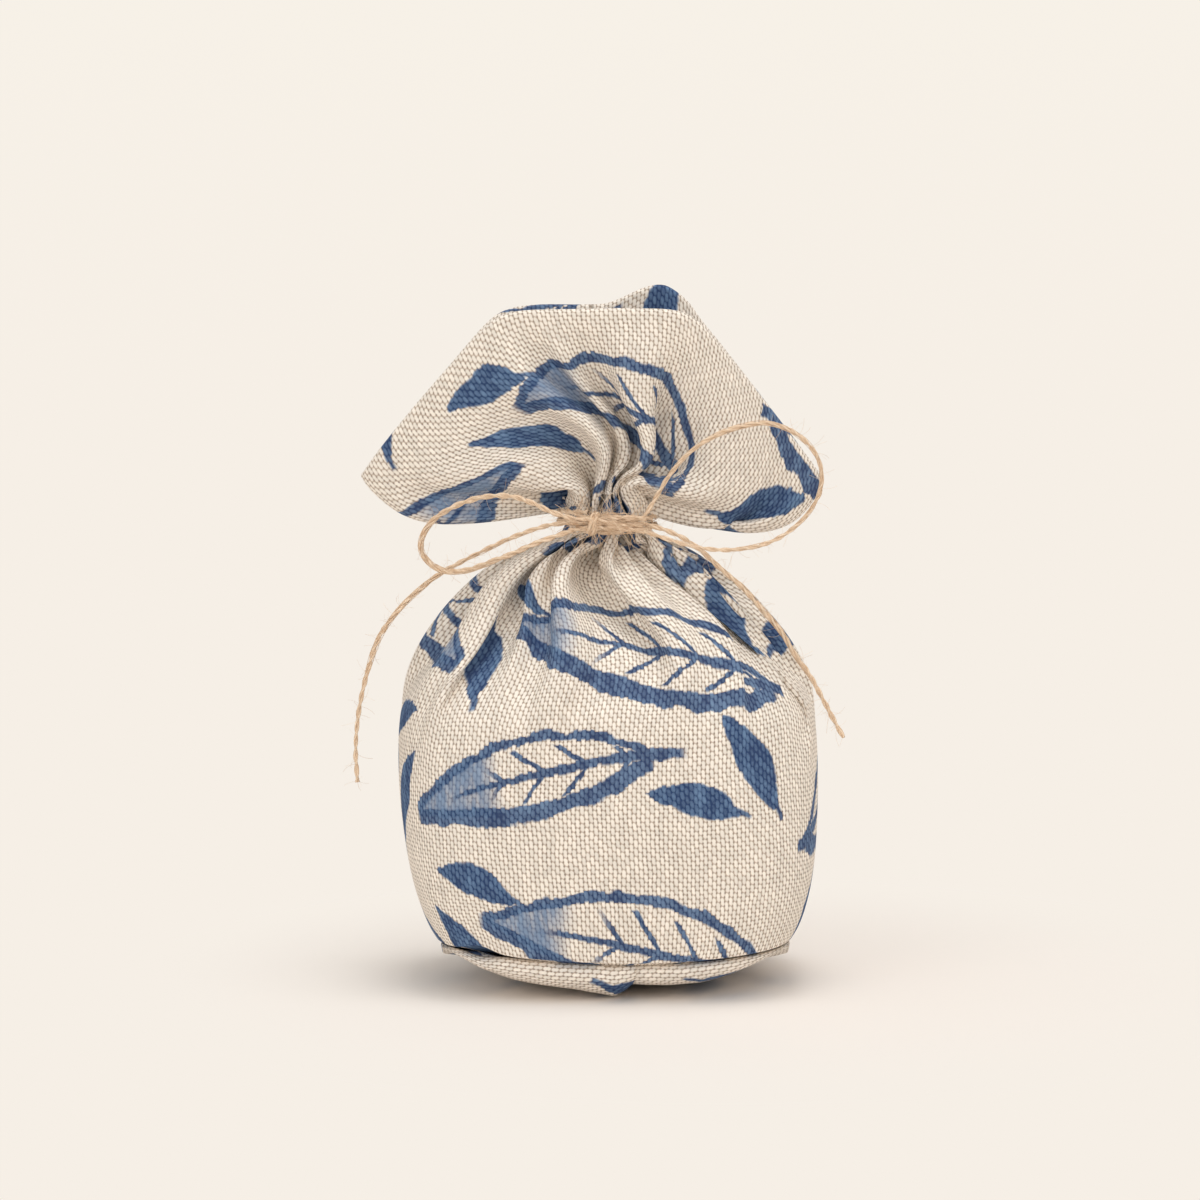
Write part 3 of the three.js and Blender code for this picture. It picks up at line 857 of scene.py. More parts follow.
@dataclass
class Cloth:
    """The tube of cloth, folded round the filling and through the tie, and relaxed there.

    Its grid's columns run from the back's middle round by the left side, and its rows up from the base fold.
    """

    tube: Tube = field(default_factory=Tube)
    form: Filled = field(default_factory=Filled)
    fan: Fan = field(default_factory=Fan)
    gathers: tuple[Gather, ...] = (
        Gather(0.020, 0.7, 0.8), Gather(0.105, 0.8, 0.7, -0.02), Gather(0.185, 0.8, 0.5),
        Gather(0.266, 0.8, 0.2), Gather(0.385, 1.1, 0.3, -0.01), Gather(0.450, 0.9, 1.15, -0.04),
        Gather(0.495, 0.75, 1.0, -0.01, -0.01), Gather(0.540, 1.1, 0.7, 0.17, 0.05),
        Gather(0.738, 0.3, 0.2, 0.09), Gather(0.830, 0.8, 0.7), Gather(0.920, 0.8, 0.8),
    )
    drift_length: float = 40 * MM
    body_reach: float = 45 * MM
    valley_width: float = 0.05
    valley_fade: tuple[float, float] = (0.45, 1.05)
    phase_margin: float = 0.2
    phase_places: int = 2801
    phase_blur: int = 81
    columns: int = 82
    rows: int = 49
    outline_places: int = 720
    height_places: int = 400
    height_steps: int = 401
    widest_bend: float = 2.3
    bend_tries: int = 30
    coarse_steps: int = 300
    fine_steps: int = 150
    look_every: int = 6
    hold: float = 0.02
    mouth_hold: float = 0.3
    mouth_band: float = 4 * MM
    shear: float = 0.08
    stiffness: float = 0.024
    tie_half: float = 2.6 * MM
    tie_slope: float = 2.4
    tie_band: float = 9 * MM
    tie_grip: float = 1.6 * MM
    layer_gap: float = 1.15 * MM
    leaf_gap: float = 1.0 * MM
    leaf_fade: tuple[float, float] = (0.03, 0.12)
    leaf_rise: tuple[float, float] = (3 * MM, 8 * MM)
    edge_thickness: float = 1.3 * MM
    filling_gap: float = 0.4 * MM
    filling_top: float = 84 * MM
    shoulder_slack: float = 11.0 * MM
    shoulder: tuple[float, float] = (54 * MM, 82 * MM)
    bulge: float = 0.5 * MM
    bulge_band: tuple[float, float] = (56 * MM, 70 * MM)

    def build(self) -> np.ndarray:
        """Folds and relaxes the cloth.

        Returns:
            The places of the finished grid, rows by columns by 3.
        """
        grid = self.relax(self.folded(), self.coarse_steps, False)
        grid = self.relax(self.finer(grid), self.fine_steps, True)
        return self.finer(grid)

    def height(self, row: float) -> float:
        """The height of a row of the body, as the cloth runs from the base fold to the tie.

        Args:
            row: how far up the cloth it is.
        Returns:
            Its height.
        """
        z = np.linspace(self.form.crease, self.form.tie, self.height_places)
        across = self.form.half(z, self.form.base_width, self.form.width)
        along = self.form.half(z, self.form.base_depth, self.form.depth)
        radius = np.sqrt(across * along)
        length = np.concatenate([[0.0], np.cumsum(np.hypot(np.diff(z), np.diff(radius)))])
        even = np.interp(np.linspace(0, length[-1], self.height_steps), length, z)
        return float(np.interp(row / self.tube.tie, np.linspace(0, 1, self.height_steps), even))

    def places(self, row: float) -> np.ndarray:
        """Where each gather lies in a row.

        Args:
            row: how far up the cloth it is.
        Returns:
            The places, as shares of the girth.
        """
        below = 1 - (1 - min(1.0, max(0.0, self.tube.tie - row) / self.drift_length)) ** 2
        above = 1 - (1 - min(1.0, max(0.0, row - self.tube.tie) / self.drift_length)) ** 2
        return np.array([g.place + g.body_drift * below + g.collar_drift * above for g in self.gathers])

    def girth(self, row: float) -> float:
        """How much cloth lies round a row: below the widest part, the rest is tucked in under the base.

        Args:
            row: how far up the cloth it is.
        Returns:
            The length of the cloth there.
        """
        z = self.height(row)
        if z >= self.form.girth_height:
            return self.tube.girth
        line = self.form.outline(z, self.outline_places)
        return min(self.tube.girth, float(np.linalg.norm(np.roll(line, -1, 0) - line, axis=1).sum()))

    def phase(self, row: float) -> np.ndarray:
        """A rising angle round a row that passes a whole turn at each valley.

        Args:
            row: how far up the cloth it is.
        Returns:
            The angle at each column.
        """
        places = self.places(row)
        count = len(places)
        x = np.concatenate([places - 1, places, places + 1])
        turns = np.arange(-count, 2 * count, dtype=float)
        at = (np.arange(self.columns) + 0.5) / self.columns
        fine = np.linspace(-self.phase_margin, 1 + self.phase_margin, self.phase_places)
        rising = np.interp(fine, x, turns)
        kernel = np.hanning(self.phase_blur)
        smooth = np.convolve(rising, kernel / kernel.sum(), mode="same")
        return TURN * np.interp(at, fine, smooth)

    def strength(self, row: float) -> np.ndarray:
        """How strongly each column is folded in a row, from the reach of the gathers beside it.

        Args:
            row: how far up the cloth it is.
        Returns:
            A factor for each column.
        """
        at = (np.arange(self.columns) + 0.5) / self.columns
        if row <= self.tube.tie:
            away = (self.tube.tie - row) / self.body_reach
            reaches = [g.body for g in self.gathers]
        else:
            away = (row - self.tube.tie) / (self.tube.mouth - self.tube.tie)
            reaches = [g.collar for g in self.gathers]
        start, end = self.valley_fade
        factor = np.zeros(self.columns)
        total = np.zeros(self.columns)
        for place, reach in zip(self.places(row), reaches):
            offset = np.abs((at - place + 0.5) % 1.0 - 0.5)
            near = np.exp(-((offset / self.valley_width) ** 2))
            factor += near * (1.02 - ramp(away, start * reach, end * reach))
            total += near
        return factor / (total + 1e-9)

    def folded(self) -> np.ndarray:
        """The cloth's first shape: each row bends in and out so that its whole length fits its outline.

        Returns:
            The grid's places.
        """
        grid = np.empty((self.rows + 1, self.columns, 3))
        for r in range(self.rows + 1):
            row = self.tube.mouth * r / self.rows
            if row <= self.tube.tie:
                line = self.form.outline(self.height(row), self.outline_places)
            else:
                share = (row - self.tube.tie) / (self.tube.mouth - self.tube.tie)
                line = self.fan.outline(share, self.form.tie_radius, self.outline_places)
                line[:, 2] += self.form.tie
            grid[r] = self.lay(line, self.phase(row), self.strength(row), self.girth(row))
        return grid

    def lay(self, line: np.ndarray, phase: np.ndarray, strength: np.ndarray, girth: float) -> np.ndarray:
        """Lays one row of cloth along a shorter closed line, in folds.

        Args:
            line: the closed line's places.
            phase: the folds' angle at each column.
            strength: how strongly each column folds.
            girth: of the cloth in this row.
        Returns:
            The row's places.
        """
        def bent(most: float) -> np.ndarray:
            """Each column's angle to the line, where the strongest fold bends this much."""
            return np.minimum(most * strength, self.widest_bend) * np.sin(phase)

        closed = np.vstack([line, line[:1]])
        along = distances(closed)
        length = along[-1]
        step = girth / len(phase)
        ratio = min(1.0, length / girth)
        low, high = 0.0, self.widest_bend
        for _ in range(self.bend_tries):
            middle = (low + high) / 2
            if np.mean(np.cos(bent(middle))) > ratio:
                low = middle
            else:
                high = middle
        bend = bent(low)
        forward = np.cumsum(np.cos(bend)) * step
        forward *= length / forward[-1]
        depth = np.cumsum(np.sin(bend)) * step
        depth -= np.linspace(0, depth[-1], len(depth))
        window = max(3, len(phase) // 8)
        stacked = np.stack([np.roll(depth, k) for k in range(-window // 2, window // 2 + 1)])
        depth -= stacked.max(axis=0)
        place = places_at(forward, along, closed)
        heading = places_at(forward + MM, along, closed, length) - place
        out = np.stack([-heading[:, 1], heading[:, 0], np.zeros(len(place))], axis=1)
        out /= np.linalg.norm(out, axis=1, keepdims=True) + 1e-9
        centre = closed[:-1].mean(axis=0)
        flip = np.sign(np.sum(out[:, :2] * (place - centre)[:, :2], axis=1).sum())
        return place + out * (flip * depth)[:, None]

    @staticmethod
    def finer(grid: np.ndarray) -> np.ndarray:
        """Makes a grid finer.

        Args:
            grid: its places.
        Returns:
            A grid with twice as many rows and columns, through the same places.
        """
        rows, columns, _ = grid.shape
        wide = np.empty((rows, 2 * columns, 3))
        ahead, behind, further = np.roll(grid, -1, 1), np.roll(grid, 1, 1), np.roll(grid, -2, 1)
        wide[:, 0::2] = grid
        wide[:, 1::2] = (9 * (grid + ahead) - behind - further) / 16
        tall = np.empty((2 * rows - 1, 2 * columns, 3))
        tall[0::2] = wide
        above = np.concatenate([wide[2:], 2 * wide[-1:] - wide[-2:-1]])
        below = np.concatenate([2 * wide[:1] - wide[1:2], wide[:-2]])
        tall[1::2] = (9 * (wide[:-1] + wide[1:]) - below - above) / 16
        return tall

    def relax(self, grid: np.ndarray, steps: int, keeps_apart: bool) -> np.ndarray:
        """Lets the cloth find its shape: it keeps its lengths, resists bending and lies on the filling.

        Args:
            grid: the places to start from.
            steps: rounds of small moves.
            keeps_apart: whether layers that touch are pushed apart.
        Returns:
            The relaxed places.
        """
        rows, columns, _ = grid.shape
        row = np.linspace(0, self.tube.mouth, rows)[:, None]
        round_step = np.array([self.girth(place) for place in row[:, 0]])[:, None] / columns
        rise_step = self.tube.mouth / (rows - 1)
        diagonal = np.hypot((round_step[1:] + round_step[:-1]) / 2, rise_step)
        hold = self.hold + self.mouth_hold * ramp(row, self.tube.mouth - self.mouth_band, self.tube.mouth)
        leaf = self.leaf_sides(row, columns)
        points = grid.copy()
        layers = Layers(columns, self.layer_gap)
        for step in range(steps):
            points = self.keep_lengths(points, round_step, rise_step)
            self.keep_shear(points, diagonal)
            self.resist_bending(points)
            if keeps_apart:
                if step % self.look_every == 0:
                    layers.find(points)
                layers.part(points)
            points += hold[..., None] * (grid - points)
            self.draw_in(points, row)
            self.lie_on_filling(points, row)
            points[..., 1] = np.where(leaf > 0, np.maximum(points[..., 1], leaf), points[..., 1])
            points[..., 1] = np.where(leaf < 0, np.minimum(points[..., 1], leaf), points[..., 1])
            points[0] = grid[0]
        return points

    def draw_in(self, points: np.ndarray, row: np.ndarray) -> None:
        """Draws the cloth in under the twine, and keeps its rows there at their heights.

        Args:
            points: the grid's places, which are moved.
            row: heights of the rows, in a column.
        """
        radius = np.hypot(points[..., 0], points[..., 1])
        beyond = np.clip(np.abs(points[..., 2] - self.form.tie) - self.tie_half, 0.0, None)
        limit = self.form.tie_radius + beyond * self.tie_slope
        close = np.abs(row - self.tube.tie) < self.tie_band
        squeeze = np.where(close, np.minimum(1.0, limit / (radius + 1e-9)), 1.0)
        points[..., :2] *= squeeze[..., None]
        grip = 0.5 * np.exp(-(((row - self.tube.tie) / self.tie_grip) ** 2))
        points[..., 2] += grip * (self.form.tie + (row - self.tube.tie) - points[..., 2])

    def leaf_sides(self, row: np.ndarray, columns: int) -> np.ndarray:
        """The least distance of each place of the collar behind (+) or before (-) its middle plane.

        Args:
            row: heights of the rows, in a column.
            columns: of the grid.
        Returns:
            The distances, 0 where a place is free.
        """
        at = (np.arange(columns) + 0.5) / columns
        from_side = np.minimum(np.abs(at - 0.25), np.abs(at - 0.75))
        start, end = self.leaf_rise
        share = ramp(from_side, *self.leaf_fade) * ramp(row, self.tube.tie + start, self.tube.tie + end)
        return share * self.leaf_gap * np.where(np.abs(at - 0.5) < 0.25, -1.0, 1.0)

    @staticmethod
    def pull(first: np.ndarray, second: np.ndarray, rest: np.ndarray | float, stiffness: float) -> None:
        """Moves pairs of places towards a distance from each other.

        Args:
            first: one place of each pair, which is moved.
            second: the other one, which is moved too.
            rest: the distance.
            stiffness: how much of the way they move.
        """
        gap = second - first
        length = np.sqrt(np.einsum("...i,...i->...", gap, gap)) + TINY
        gap *= (0.5 * stiffness * (length - rest) / length)[..., None]
        first += gap
        second -= gap

    def keep_lengths(self, points: np.ndarray, round_step: np.ndarray, rise_step: float) -> np.ndarray:
        """Keeps neighbours along the rows and the columns at their distance.

        Args:
            points: the grid's places.
            round_step: the distance along each row.
            rise_step: the distance along the columns.
        Returns:
            The moved places.
        """
        for turn in (-1, 1):
            self.pull(points[:, 0::2], points[:, 1::2], round_step, 1.0)
            points = np.roll(points, turn, axis=1)
        even = (points.shape[0] // 2) * 2
        odd = ((points.shape[0] - 1) // 2) * 2 + 1
        self.pull(points[0:even:2], points[1:even:2], rise_step, 1.0)
        self.pull(points[1:odd:2], points[2:odd:2], rise_step, 1.0)
        return points

    def keep_shear(self, points: np.ndarray, diagonal: np.ndarray) -> None:
        """Resists shear a little, along both diagonals of the cloth's cells.

        Args:
            points: the grid's places, which are moved.
            diagonal: the diagonals' own lengths.
        """
        turned = np.roll(points, -1, axis=1)
        for low, high, low_turn, high_turn in ((points, turned, 0, 1), (turned, points, 1, 0)):
            first, second = low[:-1].copy(), high[1:].copy()
            self.pull(first, second, diagonal, self.shear)
            moved_first, moved_second = first - low[:-1], second - high[1:]
            points[:-1] += 0.5 * np.roll(moved_first, low_turn, axis=1)
            points[1:] += 0.5 * np.roll(moved_second, high_turn, axis=1)

    def resist_bending(self, points: np.ndarray) -> None:
        """Smooths the cloth a little along its rows and columns.

        Args:
            points: the grid's places, which are moved.
        """
        around = (np.roll(points, 1, 1) + np.roll(points, -1, 1)) / 2 - points
        points += self.stiffness * (around - (np.roll(around, 1, 1) + np.roll(around, -1, 1)) / 2)
        upright = np.zeros_like(points)
        upright[1:-1] = (points[:-2] + points[2:]) / 2 - points[1:-1]
        points[1:-1] += self.stiffness * (upright[1:-1] - (upright[:-2] + upright[2:]) / 2)

    def lie_on_filling(self, points: np.ndarray, row: np.ndarray) -> None:
        """Keeps the body's cloth between the filling and the frame's outer form.

        Args:
            points: the grid's places, which are moved.
            row: heights of the rows, in a column.
        """
        body = row[:, 0] < self.tube.tie - 2 * MM
        low = points[body]
        z = low[..., 2]
        deep = self.filling_gap + self.shoulder_slack * ramp(z, *self.shoulder)
        share = self.form.distance(low, deep)
        push = np.where((share < 1.0) & (z < self.filling_top), 1.0 / share, 1.0)
        out = self.form.distance(low, -self.filling_gap - self.bulge * ramp(z, *self.bulge_band))
        push = np.where(out > 1.0, 1.0 / out, push)
        shift = self.form.shift(z)
        low[..., 0] = shift + (low[..., 0] - shift) * push
        low[..., 1] *= push
        points[body] = low


@dataclass
class PouchCloth:
    """The cloth's pieces: the body with its filling, the collar with its turned-in edge, and its lining."""

    cloth: Cloth = field(default_factory=Cloth)
    under_profile: tuple[tuple[float, float], ...] = (
        (0.02, 4.6 * MM), (0.5, 4.0 * MM), (0.8, 2.2 * MM),
        (0.93, 0.7 * MM), (0.975, 0.15 * MM), (0.993, 0.15 * MM),
    )
    lift_band: float = 14 * MM
    smoothing: int = 3
    edge_turns: tuple[float, ...] = (0.25, 0.5, 0.75)
    lining_depth: float = 0.55 * MM
    heap_rings: int = 42
    heap_turns: int = 96
    heap_band: float = 2.2 * MM
    heap_gap: float = 1.2 * MM
    nothing_near: float = 0.9

    def build(self, finish: bpy.types.Material, back: bpy.types.Material) -> None:
        """Makes the pieces from one grid.

        Args:
            finish: of the printed face.
            back: of the other face.
        """
        grid = self.cloth.build()
        form, tube = self.cloth.form, self.cloth.tube
        low = 1 - ramp(grid[..., 2], form.crease, form.crease + self.lift_band)
        grid[..., 2] += form.fold_lift(grid[..., 0]) * low
        rows = grid.shape[0]
        tie_row = round(tube.tie / tube.mouth * (rows - 1))
        self.heap(grid[: tie_row + 1])
        under = self.tucked_under(grid[: tie_row + 1])
        body = self.piece("pouch_body", under, -len(self.under_profile), rows, finish)
        give_frame(body, Slot.PRINTED_CLOTH, None, "body_cloth")
        collar = self.piece("pouch_collar", self.turned_in(grid[tie_row:]), tie_row, rows, finish)
        give_frame(collar, Slot.PRINTED_CLOTH, None, "collar_cloth", "collar_facing")
        lining = self.lining(grid[tie_row:], back)
        give_frame(lining, Slot.CLOTH_BACK, None)
        log.info("cloth pieces %s, %s and %s", body.name, collar.name, lining.name)

    def tucked_under(self, grid: np.ndarray) -> np.ndarray:
        """Adds the cloth's turn at the base fold and the underside within it, as rows before the first.

        Args:
            grid: the body's places.
        Returns:
            The places of the longer grid.
        """
        middle = np.array([self.cloth.form.base_shift, 0.0, 0.0])
        rows = []
        for share, drop in self.under_profile:
            ring = middle + (grid[0] - middle) * share
            ring[:, 2] = grid[0][:, 2] - drop
            rows.append(ring)
        return np.concatenate([np.array(rows), grid])

    def turned_in(self, grid: np.ndarray) -> np.ndarray:
        """Adds the edge at the mouth, and the cloth that is turned in there, as further rows.

        Args:
            grid: the collar's places.
        Returns:
            The places of the longer grid.
        """
        out = smoothed(outward(grid), self.smoothing)
        tube = self.cloth.tube
        step = (tube.mouth - tube.tie) / (grid.shape[0] - 1)
        ahead = grid[-1] - grid[-3]
        ahead /= np.linalg.norm(ahead, axis=1, keepdims=True)
        thick = self.cloth.edge_thickness
        rows = []
        for turn in self.edge_turns:
            angle = math.pi * turn
            inward = out[-1] * (1 - math.cos(angle)) * thick / 2
            rows.append(grid[-1] + ahead * (math.sin(angle) * thick / 2) - inward)
        count = round(tube.facing / step)
        inner = grid[::-1][: count + 1] - out[::-1][: count + 1] * thick
        return np.concatenate([grid, np.array(rows), inner])

    def lining(self, grid: np.ndarray, finish: bpy.types.Material) -> bpy.types.Object:
        """The cloth's inner face below the facing.

        Args:
            grid: the collar's places.
            finish: of the cloth's back.
        Returns:
            The piece.
        """
        tube = self.cloth.tube
        step = (tube.mouth - tube.tie) / (grid.shape[0] - 1)
        last = grid.shape[0] - round((tube.facing - 2 * MM) / step)
        first = round(5 * MM / step)
        inner = (grid - smoothed(outward(grid), self.smoothing) * self.lining_depth)[first:last]
        return self.piece("collar_lining", inner[::-1], 0, grid.shape[0], finish)

    def heap(self, grid: np.ndarray) -> None:
        """The filling, a closed form that lies just inside the cloth at every height and round every fold.

        Args:
            grid: the body's places.
        """
        form, turns = self.cloth.form, self.heap_turns
        heights = np.linspace(form.crease + 3 * MM, self.cloth.filling_top, self.heap_rings)
        angle = (np.arange(turns) + 0.5) / turns * TURN
        flat = grid.reshape(-1, 3)
        x = flat[:, 0] - form.shift(flat[:, 2])
        radius = np.hypot(x, flat[:, 1])
        around = np.floor(np.mod(np.arctan2(flat[:, 1], x), TURN) / TURN * turns).astype(int) % turns
        rings = np.empty((len(heights), turns))
        for r, z in enumerate(heights):
            near = np.abs(flat[:, 2] - z) < self.heap_band
            least = np.full(turns, 1.0)
            np.minimum.at(least, around[near], radius[near])
            met = least < self.nothing_near
            least = np.where(met, least, np.interp(angle, angle[met], least[met]))
            least = np.minimum(least, np.minimum(np.roll(least, 1), np.roll(least, -1)))
            rings[r] = (np.roll(least, 1) + 2 * least + np.roll(least, -1)) / 4 - self.heap_gap
        lower = np.minimum(rings, np.minimum(np.roll(rings, 1, 0), np.roll(rings, -1, 0)))
        rings[1:-1] = lower[1:-1]
        z = np.repeat(heights[:, None], turns, axis=1)
        places = np.stack([form.shift(z) + rings * np.cos(angle), rings * np.sin(angle), z], axis=2)
        bottom, top = (form.base_shift, 0.0, heights[0]), (0.0, 0.0, heights[-1] + 1 * MM)
        points, faces, ends = closed_form(places, bottom, top)
        heap = mesh_object("filling_heap", points, [*faces, *ends])
        heap.data.materials.append(Grain().build())
        give_frame(heap, Slot.GRAIN, Body.POUCH, "filling")

    def piece(
        self, name: str, grid: np.ndarray, first: int, rows: int, finish: bpy.types.Material,
    ) -> bpy.types.Object:
        """A band of the grid as a mesh whose UV map is the cloth's own measure.

        Args:
            name: of the piece.
            grid: the band's places.
            first: the band's first row in the whole grid.
            rows: of the whole grid.
            finish: of the cloth.
        Returns:
            The piece.
        """
        count, columns, _ = grid.shape
        made = mesh_object(name, grid.reshape(-1, 3), ring_faces(count, columns))
        row, column = ring_corners(count, columns)
        u = column / columns * self.cloth.tube.girth
        v = (row + first) / (rows - 1) * self.cloth.tube.mouth
        set_uv(made, np.stack([u, v], axis=1) / UV_UNIT)
        made.data.materials.append(finish)
        return made


@dataclass(frozen=True)
class Flap:
    """A side's cloth folded under the base, from its end under the middle to the pouch's side.

    edge has, for places along the flap: how far right it is, the height of the front's lower edge there, and
    how far that edge stands in from the fold, all in millimetres.
    """

    node: str
    edge: tuple[Point, ...]
    setback: float = 0.0
    pinch: float = 0.0
    seam_gap: float = 0.35 * MM
    step_in: float = 0.5 * MM
    sink: float = 4.6 * MM
    sink_shares: tuple[float, ...] = (0.8, 0.4, 0.0, -0.4, -0.8)
    stations: int = 72
    turns: int = 84
    ends: tuple[tuple[float, float], ...] = ((0.97, 0.25 * MM), (0.88, 0.42 * MM), (0.4, 0.45 * MM))
    end_start: float = 60 * MM
    uv_start: float = 0.0

    def section(self, form: Filled, x: float, low: float, inset: float) -> np.ndarray:
        """One closed ring: down the front, under the base, up the back and across below the pouch.

        Args:
            form: the body's.
            x: the ring's place.
            low: height of its lower edge.
            inset: of that edge from the fold.
        Returns:
            Places, turns by 3.
        """
        share = abs((x - form.base_shift) / (form.base_width / 2))
        half = form.base_depth / 2 * max(0.0, 1 - share ** form.base_squareness) ** (1 / form.base_squareness)
        from_end = abs(x - self.edge[0][0] * MM)
        half -= self.step_in + self.setback * (1 - ramp(from_end, 0.0, 9 * MM))
        half = max(half, 2 * MM)
        seam = form.crease + float(form.fold_lift(x)) - self.seam_gap
        top = seam - self.pinch * float(form.arch(x))
        low = min(low, top - 0.7 * MM)
        inset = min(inset, 0.6 * half)
        under = low * (0.25 + 0.75 * ramp(share, 0.45, 0.95))
        drop = top - low
        face = [
            (-half + 2.6 * MM, top), (-half + 1.0 * MM, top - 0.4 * MM),
            (-half + 0.15 * MM, top - 1.1 * MM), (-half, top - 0.5 * drop),
            (-half + 0.35 * inset, top - 0.72 * drop), (-half + inset, low), (-half + inset + 0.8 * MM, low),
            (-half + inset + 4 * MM, low * 0.7 + under * 0.3), (-0.4 * half, under), (0.0, under),
        ]
        ring = face + [(-y, z) for y, z in reversed(face[:-1])]
        ring += [(k * half, seam - self.sink * (1 - k * k)) for k in self.sink_shares]
        line = np.array(ring + ring[:1])
        along = distances(line)
        even = places_at(np.linspace(0, along[-1], self.turns, endpoint=False), along, line)
        for _ in range(2):
            even = (np.roll(even, 1, 0) + 2 * even + np.roll(even, -1, 0)) / 4
        return np.column_stack([np.full(self.turns, x), even])

    def rounded_end(self, ring: np.ndarray, facing: float) -> list[np.ndarray]:
        """Smaller rings beyond the last one, so that the flap's end is rounded.

        Args:
            ring: the last ring.
            facing: 1 where the end looks right, -1 where it looks left.
        Returns:
            The rings, from the largest.
        """
        middle = ring.mean(axis=0)
        return [middle + (ring - middle) * share + (facing * out, 0.0, 0.0) for share, out in self.ends]

    def build(self, form: Filled, finish: bpy.types.Material) -> None:
        """Makes the flap.

        Args:
            form: the body's.
            finish: of the cloth.
        """
        edge = np.array(self.edge) * MM
        rising = edge[np.argsort(edge[:, 0])]
        wanted = np.linspace(edge[0, 0], edge[-1, 0], self.stations)
        low, inset = (np.interp(wanted, rising[:, 0], rising[:, k]) for k in (1, 2))
        rings = [self.section(form, *place) for place in zip(wanted, low, inset)]
        facing = math.copysign(1.0, edge[-1, 0] - edge[0, 0])
        before = self.rounded_end(rings[0], -facing)
        after = self.rounded_end(rings[-1], facing)
        grid = np.array(before[::-1] + rings + after)
        points, faces, ends = closed_form(grid, tuple(grid[0].mean(axis=0)), tuple(grid[-1].mean(axis=0)))
        made = mesh_object(self.node + "_cloth", points, [*faces, *ends])
        count, turns, _ = grid.shape
        row, column = ring_corners(count, turns)
        middle = grid[count // 2]
        u = distances(np.vstack([middle, middle[:1]]))[column]
        v = self.uv_start + grid[row, 0, 0]
        corners = points[np.concatenate([faces.reshape(-1), ends.reshape(-1)])]
        uv = corners[:, 1:] + (self.end_start, self.uv_start)
        face_row = np.repeat(row[::4], 4)
        along_side = (face_row > len(before) - 2) & (face_row < count - len(after))
        uv[: len(u)][along_side] = np.stack([u, v], axis=1)[along_side]
        set_uv(made, uv / UV_UNIT)
        made.data.materials.append(finish)
        give_frame(made, Slot.PRINTED_CLOTH, Body.POUCH, self.node)


FLAPS = (
    Flap("base_flap_left", (
        (5.4, 3.6, 3.6), (3.4, 1.6, 4.6), (1.4, 0.25, 5.2), (-0.6, 0.7, 4.7), (-6.3, 2.1, 3.2),
        (-12.7, 3.2, 2.2), (-19.0, 4.6, 1.7), (-25.0, 6.2, 1.2), (-29.0, 7.9, 0.8), (-30.8, 8.5, 0.8),
        (-32.6, 10.0, 1.4),
    ), pinch=2.2 * MM),
    Flap("base_flap_right", (
        (4.6, 3.4, 2.2), (7.6, 3.2, 2.2), (12.0, 3.3, 2.0), (18.1, 4.0, 1.6), (26.0, 6.0, 1.0),
        (31.5, 7.8, 0.7), (34.3, 8.8, 0.8), (35.8, 10.0, 1.4),
    ), setback=0.9 * MM, uv_start=40 * MM),
)


# The twine


def along_route(places: Sequence[Point], spacing: float) -> np.ndarray:
    """Evenly spaced places on the smooth curve through a route's points.

    Args:
        places: the route's points, in millimetres.
        spacing: between the new places, in metres.
    Returns:
        An array of places by 3, in metres.
    """
    p = np.array(places, dtype=float) * MM
    p = np.vstack([2 * p[0] - p[1], p, 2 * p[-1] - p[-2]])
    made = []
    for i in range(1, len(p) - 2):
        p0, p1, p2, p3 = p[i - 1 : i + 3]
        d0, d1, d2 = (math.sqrt(np.linalg.norm(b - a)) for a, b in ((p0, p1), (p1, p2), (p2, p3)))
        start = ((p1 - p0) / d0 - (p2 - p0) / (d0 + d1) + (p2 - p1) / d1) * d1
        end = ((p2 - p1) / d1 - (p3 - p1) / (d1 + d2) + (p3 - p2) / d2) * d1
        w = np.linspace(0, 1, 25)[:, None]
        bend = (-3 * p1 + 3 * p2 - 2 * start - end) * w ** 2
        made.append(p1 + start * w + bend + (2 * p1 - 2 * p2 + start + end) * w ** 3)
    dense = np.vstack(made)
    along = distances(dense)
    count = max(4, round(along[-1] / spacing) + 1)
    return places_at(np.linspace(0, along[-1], count), along, dense)


def cross_axes(path: np.ndarray) -> tuple[np.ndarray, np.ndarray]:
    """Two directions across a path that turn with it as little as they can.

    Args:
        path: its places.
    Returns:
        The two directions at each place.
    """
    heading = np.gradient(path, axis=0)
    heading /= np.linalg.norm(heading, axis=1, keepdims=True)
    side = np.empty_like(path)
    first = np.cross(heading[0], (0.0, 1.0, 0.02))
    side[0] = first / np.linalg.norm(first)
    for i in range(1, len(path)):
        carried = side[i - 1] - heading[i] * np.dot(side[i - 1], heading[i])
        side[i] = carried / np.linalg.norm(carried)
    return side, np.cross(heading, side)


def towards(angle: np.ndarray, side: np.ndarray, across: np.ndarray) -> np.ndarray:
    """The direction at an angle from one side of a line to the other."""
    return np.cos(angle)[..., None] * side + np.sin(angle)[..., None] * across


def uneven(rng: np.random.Generator, along: np.ndarray, low: float, high: float, knots: int) -> np.ndarray:
    """Random values that change gradually along a line.

    Args:
        rng: the random numbers.
        along: how far along the line each of its places is.
        low: the smallest value.
        high: the largest one.
        knots: how many values are drawn.
    Returns:
        A value for each place.
    """
    return np.interp(along, np.linspace(0, along[-1], knots), rng.uniform(low, high, knots))


